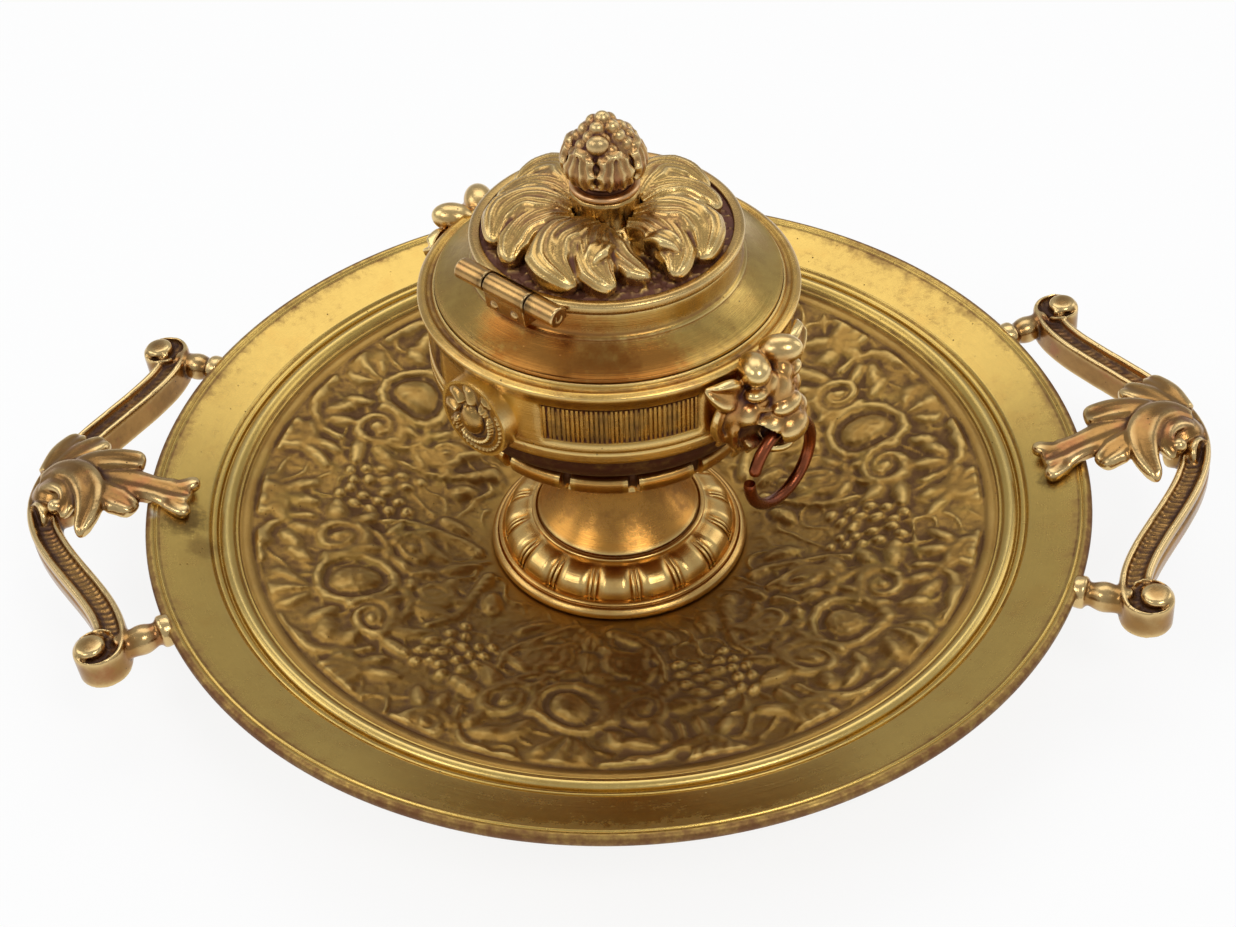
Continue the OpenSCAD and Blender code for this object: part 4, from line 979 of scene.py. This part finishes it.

# ---------------------------------------------------------------- Cover of the bowl
# Turned and polished shoulder that drops into the bowl and rises to a neck, which holds the liner.
# Brown clouds over its front are partly tarnished metal and partly painted dark reflection.

ledge_z = cover_z + 8.3
neck_r, neck_in_r, liner_hole_r = 29.3, 26.8, 25.0
neck_foot_z, cover_top = cover_z + 5.4, cover_z + 10.95
slope = np.linspace(0, 1, 26)
cover_slope = np.stack([cover_r - 0.4 - (cover_r - neck_r - 1.5) * slope,
                        cover_z + 0.85 + (neck_foot_z - 0.6 - cover_z - 0.85) * slope ** 1.25], 1)
cover_outline = np.concatenate([
    [(bowl_in_r - 2.4, cover_z - 4.5), (bowl_in_r - 0.4, cover_z - 4.5), (bowl_in_r - 0.4, cover_z)],
    fillet(offset_from(cover_r, cover_z, (-0.1, 0), (0.02, 0.3, 0.2), (-0.1, 0.8, 0.3), (-0.35, 0.86))),
    cover_slope,
    refined(fillet([(neck_r + 1.1, neck_foot_z - 0.3), (neck_r + 0.1, neck_foot_z + 0.3, 0.9),
                    (neck_r, neck_foot_z + 1.5), (neck_r, cover_top - 0.1, 0.3), (neck_in_r, cover_top, 0.2),
                    (neck_in_r, ledge_z)]), 0.8, False),
    [(liner_hole_r, ledge_z), (liner_hole_r, ledge_z - 2.6), (bowl_in_r - 2.4, cover_z - 1.2)]])
# The brown clouds on the front are partly tarnished metal and partly painted dark reflection, darkest at the
# front middle.
tarnish_and_dark_reflection = (0.34, 0.12, 0.022)
cover_brass = aged_brass("cover brass", (0.72, 0.53, 0.22), (0.55, 0.37, 0.105), (0.2, 0.08, 0.018),
                         0.2, turned=0.03, pits=0.06, dirt_share=0.8, tint=(0.5, 0.3, 0.08), stains_and_painted_light=[
                             ((-13, -33, cover_z + 5), 19, tarnish_and_dark_reflection), ((-24, -23, cover_z + 6), 10, tarnish_and_dark_reflection),
                             ((8, -37, cover_z + 2), 13, tarnish_and_dark_reflection),
                             ((-2, -36, cover_z + 2), 10, (0.24, 0.085, 0.016))])
piece(turned_mesh("cover", cover_outline, 360), cover_brass, nodes=["bowl_cover"],
      relief=(10, 0.2))

# ---------------------------------------------------------------- Liner
# Moulded glass pot for the ink. It hangs in the neck by its flange, and lifts out to be washed and filled.
# Its wall is left a little wavy by the mould.

liner_r, liner_wall, liner_z = 24.5, 2.3, ledge_z - 29
flange_top, floor_z = ledge_z + 1.2, liner_z + 3.5
liner_outline = fillet([(0, liner_z), (liner_r, liner_z, 3), (liner_r, ledge_z, 0.3),
                        (neck_in_r - 0.3, ledge_z, 0.4), (neck_in_r - 0.3, flange_top, 0.5),
                        (liner_r - liner_wall, flange_top, 0.5), (liner_r - liner_wall, floor_z, 2),
                        (0, floor_z)], 9)
glass = Finish("liner glass")
flow = glass.noise(0.08, 3, 0.5)
liner_glass = glass.surface({
    "Base Color": glass.mix(flow, (0.86, 0.95, 0.93), (0.78, 0.9, 0.88)), "Roughness": flow * 0.06 + 0.02,
    "Transmission Weight": 0.9, "IOR": 1.5, "Normal": glass.bump(flow, 0.3, 0.6)})
liner = make_mesh("liner", *spun(refined(liner_outline, 3, False), (0, 0, 0), (0, 0, 1), 96))
piece(liner, liner_glass, nodes=["ink_liner"], relief=None)

# ---------------------------------------------------------------- Lid
# One casting: a flat turned rim, a stippled ground sunk inside it that climbs to the fluted boss in the
# middle, and six plump acanthus leaves of two to four lobes. Their tips curl down short of the rim.

lid_z, lid_t, lid_r, lid_rim_w = cover_z + 11.0, 2.5, 29.9, 2.4
lid_in_r, boss_r = lid_r - lid_rim_w, 7.8
boss_z = lid_z + 12
ground_z = lid_z + lid_t - 1.0
chord_r = 27.9
leaf_first = -10.0


def lid_ground(x, y):
    """Stippled ground of the lid, which climbs to the boss."""
    r = np.hypot(x, y)
    stipple = 0.55 * np.clip(pebbles(x, y, 0.95, 21) + 0.1, 0, 1) + 0.16 * pebbles(x, y, 1.9, 22)
    climb = 4.4 * np.clip((15 - r) / 7, 0, 1) ** 1.5
    return ground_z + climb + stipple * np.clip((lid_in_r + 0.1 - r) / 1.0, 0, 1)


def lid_leaf(bearing, side, size, kept):
    """Lobes of one leaf: knots (radius, degrees from the bearing, height, half width), curled to one side."""
    lobes = (
        ([(7.6, 0, 6.2, 2.8), (12.0, -13, 7.6, 5.0), (17.0, -17, 7.4, 6.1), (21.6, -10, 5.6, 5.5),
          (24.6, 3, 3.2, 3.4)], 2.6, 3, 3, 0.28),
        ([(8.0, 10, 5.8, 2.5), (13, 7, 7.2, 4.0), (18, 9, 6.5, 4.7), (22.2, 15, 4.4, 3.9),
          (24.6, 21, 2.6, 2.2)], 2.4, 3, 3, 0.2),
        ([(8.6, 20, 5.2, 2.0), (13.2, 24, 5.8, 3.2), (17.2, 30, 4.8, 3.5), (20.2, 37, 3.2, 2.8),
          (22.0, 42, 2.2, 1.5)], 1.9, 2, 3, 0.2),
        ([(10.0, -22, 5.0, 2.0), (15.0, -33, 5.2, 3.2), (19.4, -37, 4.0, 3.4), (22.8, -33, 2.7, 2.2)],
         1.9, 2, 2, 0.25))
    parts = []
    for knots, thick, ribs, teeth, blunt in (lobes[k] for k in kept):
        spine = []
        for radius, degrees, height, wide in knots:
            a = math.radians(bearing + side * degrees)
            spine.append((radius * size * math.sin(a), -radius * size * math.cos(a),
                          lid_z + height * size, wide * size))
        points, faces = leaf(spine, thick, ribs, teeth, 0.4, 72, hollow=0.2, deep=7, vein=0.1, blunt=blunt)
        points[:, 2] = np.maximum(points[:, 2], ground_z - 0.3)
        parts.append((points, faces))
    return parts


lid_brass = aged_brass("lid brass", (0.8, 0.6, 0.27), (0.56, 0.36, 0.12), (0.13, 0.046, 0.026),
                       0.27, pits=0.3, tint=(0.44, 0.22, 0.08), clouds=0.28)
leaf_rings = np.linspace(boss_r - 1.2, lid_in_r + 0.25, 110)
ground, ground_faces = sheet(leaf_rings, np.arange(720) * 2 * math.pi / 720,
                             lid_ground, lambda r: 0 * r + lid_z + 1.0, full=True)
ground_mesh = make_mesh("lid_ground", ground, ground_faces)
height = points_of(ground_mesh)[:, 2] - ground_z
piece(ground_mesh, lid_brass, "lid", relief=0.9 * np.clip(height, 0, 1.2) - 0.8)
lid_foliage = []
for bearing, side, size, kept in ((-19, 1, 1.04, (0, 1, 2)), (53, -1, 1.05, (0, 1)),
                                  (116, -1, 1.0, (0, 1, 3)), (175, -1, 0.96, (0, 1, 2)),
                                  (231, 1, 1.0, (0, 1, 2, 3)), (284, 1, 1.03, (0, 1, 2))):
    lid_foliage += lid_leaf(bearing, side, size, kept)
# Tips that stand up over the two front leaves
for bearing, reach, lean in ((-34, 17.4, 40), (-5, 18.6, -30), (37, 19.4, 20), (72, 19.6, -35)):
    a, b = math.radians(bearing), math.radians(bearing + lean)
    way = np.array([math.sin(b), -math.cos(b)])
    start = reach * np.array([math.sin(a), -math.cos(a)])
    tip = ((-4, 7.2, 1.4), (-1, 8.6, 2.4), (2, 8.2, 2.5), (4.4, 6.2, 0.8))
    knots = [[*(start + way * t), lid_z + z, w] for t, z, w in tip]
    lid_foliage.append(leaf(knots, 1.6, 1, 2, 0.3, 40, deep=3, hollow=0.35, blunt=0.2))
piece(cast("lid_leaves", lid_foliage, 0.26, 1), lid_brass, "lid", relief=(60, 0.5))


def cut_chord(r, z, a):
    """Flat on the lid's edge behind the hinge's barrel."""
    off = (a - math.radians(hinge_az) + math.pi) % (2 * math.pi) - math.pi
    return np.where((np.abs(off) < 0.6) & (r > 20), np.minimum(r, chord_r / np.cos(off)), r), z


lid_top, tongue_r = lid_z + lid_t, neck_in_r - 0.6
lid_plate = refined(fillet([(1.6, lid_z + 0.5), (neck_in_r - 2.2, lid_z - 0.55, 0.2),
                            (tongue_r, lid_z - 0.55, 0.2), (tongue_r, lid_z + 0.02),
                            (lid_r - 0.3, lid_z + 0.02, 0.3), (lid_r, lid_z + 0.7, 0.4),
                            (lid_r, lid_top - 0.5, 0.5), (lid_r - 0.9, lid_top, 0.3),
                            (lid_in_r + 0.9, lid_top - 0.05, 0.3), (lid_in_r, lid_top - 0.2, 0.3),
                            (lid_in_r - 0.2, ground_z - 0.3), (1.6, ground_z - 0.3)]), 1.5)
piece(turned_mesh("lid_plate", lid_plate, 360, cut_chord), lid_brass, "lid", nodes=["lid"], relief=(10, 0.2))


def flute_boss(r, z, a):
    waves = np.abs(np.cos(6 * (a - math.radians(leaf_first))))
    up = np.clip((z - lid_z - 4) / 8, 0, 1)
    return r + (0.35 * waves ** 0.6 - 0.25) * (r > 4) * np.sin(up * math.pi) ** 0.5, z


boss_outline = refined(fillet([(1.9, ground_z), (boss_r + 0.6, ground_z), (boss_r + 0.3, lid_z + 5, 1),
                               (boss_r - 0.7, lid_z + 8.2, 1.2), (boss_r - 0.1, boss_z - 0.7, 0.6),
                               (boss_r - 0.5, boss_z, 0.3), (1.9, boss_z)]), 0.4)
piece(turned_mesh("lid_boss", boss_outline, 240, flute_boss), lid_brass, "lid", relief=(14, 0.9))

# ---------------------------------------------------------------- Collar under the finial
# Small turned dish, copper coloured where its plating is thin, with a bead round its foot and one round
# its top. The finial's stud passes through it and clamps it to the boss.

dish_collar_r, dish_collar_h = 7.6, 2.9
finial_z = boss_z + dish_collar_h
dish_outline = refined(fillet([
    (1.5, boss_z), (dish_collar_r - 1, boss_z),
    *offset_from(dish_collar_r, boss_z, (0, 0.3, 0.4), (0, 1.3, 0.6), (-1.2, 1.7, 0.4), (-2, 1.0, 0.4),
                 (-2.6, 1.4, 0.3)),
    (dish_collar_r - 2.5, finial_z - 0.6, 0.5), (dish_collar_r - 3.1, finial_z, 0.4), (1.5, finial_z)]), 0.25)
copper = aged_brass("copper wash", (0.7, 0.42, 0.2), (0.4, 0.17, 0.07), (0.1, 0.032, 0.016), 0.3,
                    turned=0.02, pits=0.2, tint=(0.3, 0.1, 0.05))
piece(turned_mesh("finial_dish", dish_outline, 200), copper, "lid", nodes=["finial_collar"],
      relief=(14, 0.12))

# ---------------------------------------------------------------- Finial
# Cast knob: six veined leaves hold a heap of berries, with one larger fruit in front. A stud from inside
# the lid holds it down on its collar.

core = [(0, 0), (4.6, 0, 0.3), (6.8, 1.8, 1), (7.6, 4.4, 2), (6.2, 8.4, 2), (3.2, 11.8, 2), (0, 13.2)]
knob = [spun(fillet(core), (0, 0, finial_z), (0, 0, 1))]
for k in range(6):
    a = math.radians(leaf_first + 28 + 60 * k)
    out = np.array([math.sin(a), -math.cos(a), 0])
    blade = ((4.2, 0.3, 2.2), (7.2, 1.3, 3.7), (8.3, 3.6, 4.4), (7.9, 6.2, 4.1), (7.2, 8.0, 3.1),
             (7.6, 9.2, 1.6))
    knots = [[*(out[:2] * r), finial_z + z, w] for r, z, w in blade]
    knob.append(leaf(knots, 1.0, ribs=2, teeth=4, steps=44, ups=out, curl_edge=0.5, vein=0.24, blunt=0.1,
                     deep=1.3))
berry_rows = ((0, 13.5, 1, 1.8), (2.1, 12.4, 4, 1.75), (3.6, 10.7, 7, 1.7), (5.0, 8.9, 9, 1.75),
              (6.2, 7.0, 11, 1.7))
for reach, height, count, radius in berry_rows:
    for k in range(count):
        a = 2 * math.pi * (k + reach * 0.3) / count + rng.uniform(-0.08, 0.08)
        up = finial_z + height + rng.uniform(-0.25, 0.15)
        knob.append(ball((reach * math.sin(a), -reach * math.cos(a), up), (radius, radius, radius)))
knob.append(ball((-1.1, -5.2, finial_z + 10.4), (2.5, 2.1, 2.2)))
finial_brass = aged_brass("finial brass", (0.82, 0.62, 0.29), (0.46, 0.26, 0.095), (0.09, 0.025, 0.02),
                          0.28, pits=0.35, tint=(0.3, 0.1, 0.055))
piece(cast("finial_knob", knob, 0.2, 1), finial_brass, "lid", nodes=["finial"], relief=(60, 0.42))

# ---------------------------------------------------------------- Hinge
# Polished barrel of three knuckles on a pin. The outer two are brazed to the lid, and the middle one to a
# leaf that is riveted on the neck. The gaps between them are black with old oil.

barrel, middle, knuckle_gap, knuckle_r = 28.0, 11.6, 0.3, 2.3
side_knuckle = (barrel - middle) / 2 - knuckle_gap
hinge_out, hinge_z = lid_r + 0.6, lid_z + 1.5
hinge_way = np.array([math.cos(math.radians(hinge_az)), math.sin(math.radians(hinge_az))])
hinge_mid = hinge_out * np.array([hinge_way[1], -hinge_way[0]])
joints = [((*(hinge_mid + hinge_way * side * (middle + knuckle_gap) / 2), hinge_z), 3.5, (0.03, 0.012, 0.006))
          for side in (-1, 1)]
hinge_brass = aged_brass("hinge brass", (0.8, 0.58, 0.28), (0.52, 0.31, 0.11), (0.1, 0.036, 0.014), 0.2,
                         pits=0.15, tint=(0.46, 0.2, 0.09), stains_and_painted_light=joints)


def turned_to(points, azimuth):
    c, s = math.cos(math.radians(azimuth)), math.sin(math.radians(azimuth))
    x, y, z = points.T
    return np.stack([c * x - s * y, s * x + c * y, z], 1)


def knuckle(x, length, radius):
    """Tube of the barrel centred on x, with the pin's end seen in a recess."""
    half = length / 2
    outline = fillet([(0, -half + 0.45), (0.95, -half + 0.45), (1.05, -half, 0.1), (radius, -half, 0.45),
                      (radius, half, 0.45), (1.05, half, 0.1), (0.95, half - 0.45), (0, half - 0.45)])
    return spun(outline, (x, -hinge_out, hinge_z), (1, 0, 0), 56)


def plate(x, length, loop):
    """Block along the barrel; loop holds (outwards, up) points from the barrel's axis."""
    path = [(x + length * t, -hinge_out, hinge_z) for t in (-0.5, -0.17, 0.17, 0.5)]
    return sweep(path, np.array(loop))


web = [(0.5, 2.24), (-1.1, 2.1), (-2.0, 1.5), (-2.62, 0.95), (-2.62, -1.2), (-0.6, -1.7), (0.6, -2.0)]
knuckles = []
for x in (-(barrel - side_knuckle) / 2, (barrel - side_knuckle) / 2):
    knuckles += [knuckle(x, side_knuckle, knuckle_r), plate(x, side_knuckle - 0.3, web)]
leaf_loop = [(1.95, 0), (1.85, -2.4), (1.55, -5.2), (1.2, -5.7), (-1.9, -5.7), (-1.9, -1.9), (-0.8, -1.6)]
bracket = [knuckle(0, middle, knuckle_r - 0.05), plate(0, middle - 0.5, leaf_loop)]
bracket += [ball((x, -hinge_out - 1.75, hinge_z - 3.7), (1.0, 0.55, 1.0)) for x in (-2.9, 2.9)]
for name, parts, body, node in (("lid_knuckles", knuckles, "lid", "hinge_knuckles"),
                                ("neck_knuckle", bracket, "base", "hinge_bracket")):
    parts = [(turned_to(points, hinge_az), faces) for points, faces in parts]
    piece(cast(name, parts, 0.13, 1), hinge_brass, body, nodes=[node],
          relief=(16, 0.12))

# ---------------------------------------------------------------- Lion masks
# Two cast masks screwed to the bowl's sides. Each has two polished curls on its brow, pointed ears and a
# mane of wavy locks. The ring's wire passes through a bore behind the muzzle, from cheek to cheek.

ring_axis_r, ring_axis_z = bowl_r + 8, mask_z - 4.5
ring_r, wire_r = 10.0, 1.4


def axes(x, y=0.0, z=0.0):
    """3 x 3 matrix of turns about X, then Y, then Z, in degrees."""
    return np.array(Matrix.Rotation(math.radians(z), 3, "Z") @ Matrix.Rotation(math.radians(y), 3, "Y")
                    @ Matrix.Rotation(math.radians(x), 3, "X"))


def at(x, out, up, *half_width):
    """A place out from the bowl's skin and up from the mask's middle."""
    return (x, -bowl_r - out, mask_z + up, *half_width)


def lock(knots):
    """Lock of the mane, grooved along."""
    return leaf([at(*knot) for knot in knots], 1.9, ribs=2, steps=40, ups=(0, -1, 0), hollow=0.35)


def mask_parts():
    """The mask at the front of the bowl, facing -Y. Knots of its locks are (x, out, up, half width)."""
    half = [
        # Polished egg-shaped curl over the brow
        ball(at(4.2, 3.2, 11.2), (3.6, 5.2, 3.4), axes(-8, 0, 38)),
        # Ear: a pointed shell with a sunk middle
        leaf([at(8.0, 1.6, 6.4, 2.2), at(10.6, 1.9, 7.6, 3.8), at(13.2, 1.0, 9.0, 3.0),
              at(15.6, -0.8, 10.6, 0.5)], 2.1, ribs=1, steps=36, ups=(0, -1, 0), hollow=0.6),
        # Brow, eye and its lower lid
        ball(at(4.9, 4.4, 6.1), (3.9, 2.9, 1.9), axes(0, -14, -24)),
        ball(at(4.4, 5.6, 3.9), (1.7, 1.5, 1.25)),
        wire(smooth_path([at(2.4, 6.6, 2.9), at(4.6, 6.9, 2.2), at(7.0, 4.9, 3.2)], 20), 0.6),
        # Cheek, whisker pad and jowl
        ball(at(6.8, 3.2, 0.8), (3.4, 3.4, 3.6)),
        ball(at(3.4, 7.0, -1.3), (4.2, 4.0, 2.9), axes(0, 12, 10)),
        ball(at(5.8, 4.4, -3.6), (2.6, 3.2, 2.8)),
        ball(at(5.3, 3.3, -6.9), (2.3, 2.7, 2.7)),
        # Mane
        lock([(8.6, 1.6, 5.6, 1.8), (11.4, 0.8, 3.4, 2.6), (12.2, 0.1, -0.5, 2.6), (11.0, 0.1, -4.2, 2.3),
              (12.0, -0.6, -7.0, 0.5)]),
        lock([(7.6, 2.6, 1.4, 1.7), (9.4, 2.3, -1.6, 2.1), (9.0, 1.8, -5.2, 2.1), (7.6, 1.8, -8.6, 1.8),
              (8.8, 1.2, -11.2, 0.4)]),
        lock([(5.6, 2.6, -5.6, 1.4), (5.4, 2.4, -8.2, 1.8), (4.2, 2.2, -10.6, 1.4), (4.6, 1.8, -12.6, 0.4)]),
        ball(at(7.5, 1.2, 1), (4.8, 3.0, 7)),
    ]
    middle = [
        # Skull and forehead
        ball(at(0, 1.0, 0.8), (10.4, 4.4, 11.6)),
        ball(at(2.3, 5.0, 7.4), (2.6, 3.0, 3.4)),
        ball(at(-2.3, 5.0, 7.4), (2.6, 3.0, 3.4)),
        # Bridge, nose and muzzle
        ball(at(0, 6.4, 4.6), (3.4, 3.2, 4.8), axes(-14)),
        ball(at(0, 8.8, 2.2), (4.3, 2.6, 2.3)),
        ball(at(0, 9.4, -0.6), (3.0, 2.4, 2.2)),
        # Lower lip, chin and upper lip
        wire(smooth_path([at(-5, 4.2, -7.0), at(-3.4, 7.6, -8.4), at(0, 9.2, -8.9), at(3.4, 7.6, -8.4),
                          at(5, 4.2, -7.0)], 36), 1.15),
        ball(at(0, 5.6, -9.2), (4.0, 3.6, 2.6)),
        ball(at(0, 10.2, -3.2), (4.6, 3.2, 3.6)),
        lock([(0, 3.2, -8.6, 1.6), (0.4, 3.2, -10.8, 1.7), (-0.3, 2.4, -13.2, 0.4)]),
    ]
    return half + [mirrored(part, 0) for part in half] + middle


def press_on_bowl(mesh, depth):
    """Keeps every point of a fitting outside the drum, sunk by depth into its skin."""
    points = points_of(mesh)
    r = np.hypot(points[:, 0], points[:, 1])
    least = np.where(points[:, 2] > cover_z + 0.6, neck_r + 4, bowl_r - depth)
    points[:, :2] *= np.maximum(1, least / r)[:, None]
    mesh.vertices.foreach_set("co", points.ravel())


# Round bore for the wire, which widens at the corners of the mouth
bore_turn = np.linspace(0, 2 * math.pi, 40, endpoint=False)
bore_x = np.linspace(-10, 10, 21)
bore_r = 3.15 + 2.0 * np.clip((np.abs(bore_x) - 4.2) / 5, 0, 1.2)
mouth = sweep([(x, -ring_axis_r, ring_axis_z) for x in bore_x],
              bore_r[:, None, None] * np.stack([np.cos(bore_turn), np.sin(bore_turn)], 1))
mask_brass = aged_brass("mask brass", (0.84, 0.63, 0.28), (0.49, 0.26, 0.08), (0.06, 0.014, 0.01), 0.2,
                        pits=0.3, tint=(0.34, 0.12, 0.05))
mask_mesh = cast("mask_cast", mask_parts(), 0.25, 12, mouth)
for name, azimuth in (("mask_front", hinge_az + 90), ("mask_back", hinge_az - 90)):
    mesh = mask_mesh.copy()
    mesh.name = name + "_cast"
    mesh.vertices.foreach_set("co", turned_to(points_of(mask_mesh), azimuth).ravel())
    press_on_bowl(mesh, 0.8)
    piece(mesh, mask_brass, nodes=[name], relief=(150, 0.75))

# ---------------------------------------------------------------- Rings
# Open rings bent from round wire with a copper wash, which swing in the masks' mouths. The ends of each
# don't meet, so that it can be sprung into the bore.


def ring_bar():
    """Path and radii of the front ring's wire, as if it faced -Y."""
    wide = 1.12 * ring_r
    outer, inner = np.radians(np.linspace(180, 270, 40)), np.radians(np.linspace(-90, 165, 110))[1:]
    x = np.concatenate([wide * np.cos(outer), ring_r * np.cos(inner)])
    z = np.concatenate([wide - ring_r + wide * np.sin(outer), ring_r * np.sin(inner)])
    radius = np.full(len(x), wire_r - 0.02)
    radius[:3] = wire_r * 0.86, wire_r * 0.93, wire_r * 0.98
    radius[-3:] = wire_r * 0.98, wire_r * 0.9, wire_r * 0.75
    return np.stack([x, 0 * x - ring_axis_r, ring_axis_z - ring_r + z], 1), radius


bar_path, bar_radius = ring_bar()
bar_points, bar_faces = wire(bar_path, bar_radius, (0, 1, 0), 28)
ring_copper = aged_brass("ring copper", (0.6, 0.3, 0.15), (0.3, 0.085, 0.035), (0.06, 0.018, 0.01), 0.24,
                         pits=0.25, tint=(0.12, 0.035, 0.018), clouds=0.5)
for name, azimuth in (("ring_front", hinge_az + 90), ("ring_back", hinge_az - 90)):
    piece(make_mesh(name + "_wire", turned_to(bar_points, azimuth), bar_faces), ring_copper, name,
          nodes=[name], relief=None)

# ---------------------------------------------------------------- Rosettes
# Cast rosettes that cover the other two quarters of the frieze: a smooth oval boss with flame-like petals
# on one side and ribbed bands on the other.

rosette_r, rosette_base = 9.2, bowl_r - 1.5


def rosette_height(x, y):
    """Height over the rosette's back, x across and -y up."""
    r, a = np.hypot(x, y), np.arctan2(x, -y)
    dome = 2.2 + 3.1 * np.sqrt(np.clip(1 - (r / (rosette_r + 0.4)) ** 2, 0, 1))
    upper = np.clip(0.5 + 0.9 * np.cos(a + 0.7), 0, 1)
    petals = np.abs(np.sin(4.5 * (a + 0.06 * r))) ** 0.6
    flames = (petals - 0.6) * 2.6 * np.clip((r - 2.6) / 1.5, 0, 1) * np.clip((rosette_r + 0.3 - r) / 2, 0, 1)
    bands = 0.75 * np.cos(2 * math.pi * (r - 0.4) / 2.5) + 0.14 * np.cos(40 * a)
    bands = bands * np.clip((r - 3.4) / 0.8, 0, 1)
    carved = upper * flames + (1 - upper) * bands
    centre = np.clip(1 - (x / 3.1) ** 2 - (y / 3.7) ** 2, 0, 1) ** 0.5
    moat = 1.0 * np.exp(-((np.hypot(x / 3.1, y / 3.7) - 1.12) / 0.14) ** 2)
    return np.maximum(dome + carved - moat, 4.4 + 2.2 * centre * (centre > 0))


rosette_brass = aged_brass("rosette brass", (0.84, 0.64, 0.29), (0.5, 0.3, 0.09), (0.06, 0.018, 0.008), 0.22,
                           pits=0.25, tint=(0.36, 0.15, 0.04))
disc, disc_faces = sheet(np.concatenate([[0.001], np.linspace(0.2, rosette_r, 60)]),
                         np.arange(280) * 2 * math.pi / 280, rosette_height, lambda r: 0 * r, full=True)
standing = np.stack([disc[:, 0], -rosette_base - disc[:, 2], mask_z - disc[:, 1]], 1)
for name, azimuth in (("rosette_front", hinge_az), ("rosette_back", hinge_az + 180)):
    mesh = make_mesh(name + "_cast", turned_to(standing, azimuth), disc_faces)
    press_on_bowl(mesh, 0.8)
    piece(mesh, rosette_brass, nodes=[name], relief=(40, 0.45))

# ---------------------------------------------------------------- Fixings
# Rod, nut and washer that clamp the urn to the tray, and the screws, pins and rivets of the small parts.
# All are plain turned brass, hidden in use.


def dress(name, finish):
    """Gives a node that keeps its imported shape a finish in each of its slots."""
    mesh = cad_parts[name].data
    if not mesh.materials:
        mesh.materials.append(finish)
    for index in range(len(mesh.materials)):
        mesh.materials[index] = finish


fixing_brass = aged_brass("fixings", (0.6, 0.46, 0.2), (0.3, 0.19, 0.075), (0.1, 0.045, 0.02), 0.3, pits=0.4)
for name in ("tie_rod", "tie_washer", "tie_nut", "handle_tenons", "mask_screws", "rosette_screws",
             "hinge_pin", "hinge_rivets", "finial_stud", "finial_nut"):
    dress(name, fixing_brass)

# ---------------------------------------------------------------- Studio
# White floor that looks bright to the camera and plain to the lamps. A broad softbox hangs overhead, with
# one on each side, a small key lamp at the front right and a smaller fill at the front left.

floor_mesh = bpy.data.meshes.new("floor")
floor_mesh.from_pydata([(-6, -6, 0), (6, -6, 0), (6, 6, 0), (-6, 6, 0)], [], [(0, 1, 2, 3)])
floor = added("floor", floor_mesh)
paper = Finish("paper")
white = paper.node("ShaderNodeBsdfDiffuse", None, {"Color": (0.9, 0.9, 0.9, 1)})
glow = paper.node("ShaderNodeEmission", None, {"Color": (1, 1, 1, 1), "Strength": 1.0})
rays = paper.node("ShaderNodeLightPath", out="Is Camera Ray")
mirror_rays = Sock(paper, rays.out.node.outputs["Is Glossy Ray"])
through_rays = Sock(paper, rays.out.node.outputs["Is Transmission Ray"])
seen = rays + mirror_rays + through_rays
blend = paper.node("ShaderNodeMixShader", None, {0: seen * 0.86, 1: white, 2: glow})
paper_out = paper.tree.nodes.new("ShaderNodeOutputMaterial")
paper.tree.links.new(blend.out, paper_out.inputs["Surface"])
floor_mesh.materials.append(paper.material)


def softbox(name, place, size, power, aim=(0, 0, 0.04)):
    light = bpy.data.lights.new(name, "AREA")
    light.shape, light.size, light.size_y = "RECTANGLE", size[0], size[1]
    light.energy = power
    obj = added(name, light)
    ahead = np.array(aim) - place
    ahead /= np.linalg.norm(ahead)
    side = np.cross(ahead, (0, 0, 1) if abs(ahead[2]) < 0.99 else (0, 1, 0))
    side /= np.linalg.norm(side)
    up = np.cross(side, ahead)
    rows = [[*row, place[i]] for i, row in enumerate(zip(side, up, -ahead))]
    obj.matrix_world = Matrix(rows + [[0, 0, 0, 1]])


softbox("overhead", (0, 0.55, 1.1), (1.1, 0.7), 3.4)
softbox("left", (-1.0, 0.1, 0.75), (0.6, 0.6), 1.9)
softbox("right", (1.0, 0.4, 0.55), (0.5, 0.7), 1.3)
softbox("key", (0.42, -0.62, 0.95), (0.34, 0.34), 2.4)
softbox("fill", (-0.62, -0.42, 0.8), (0.3, 0.3), 1.2)

world = bpy.data.worlds.new("room")
bpy.context.scene.world = world
world.use_nodes = True
room = world.node_tree
room.nodes["Background"].inputs["Color"].default_value = (0.95, 0.97, 1.0, 1)
room.nodes["Background"].inputs["Strength"].default_value = 0.54

camera = bpy.data.cameras.new("camera")
camera.lens, camera.sensor_width = 58.252, 36
viewer = added("camera", camera)
camera_down, camera_yaw, camera_roll = (math.radians(turn_by) for turn_by in (41.435, -0.0566, -2.3675))
viewer.matrix_world = (Matrix.Translation((0, -0.35762, 0.34391)) @ Matrix.Rotation(camera_yaw, 4, "Z")
                       @ Matrix.Rotation(math.pi / 2 - camera_down, 4, "X")
                       @ Matrix.Rotation(camera_roll, 4, "Z"))
bpy.context.scene.camera = viewer
bpy.context.scene.view_settings.view_transform = "Standard"
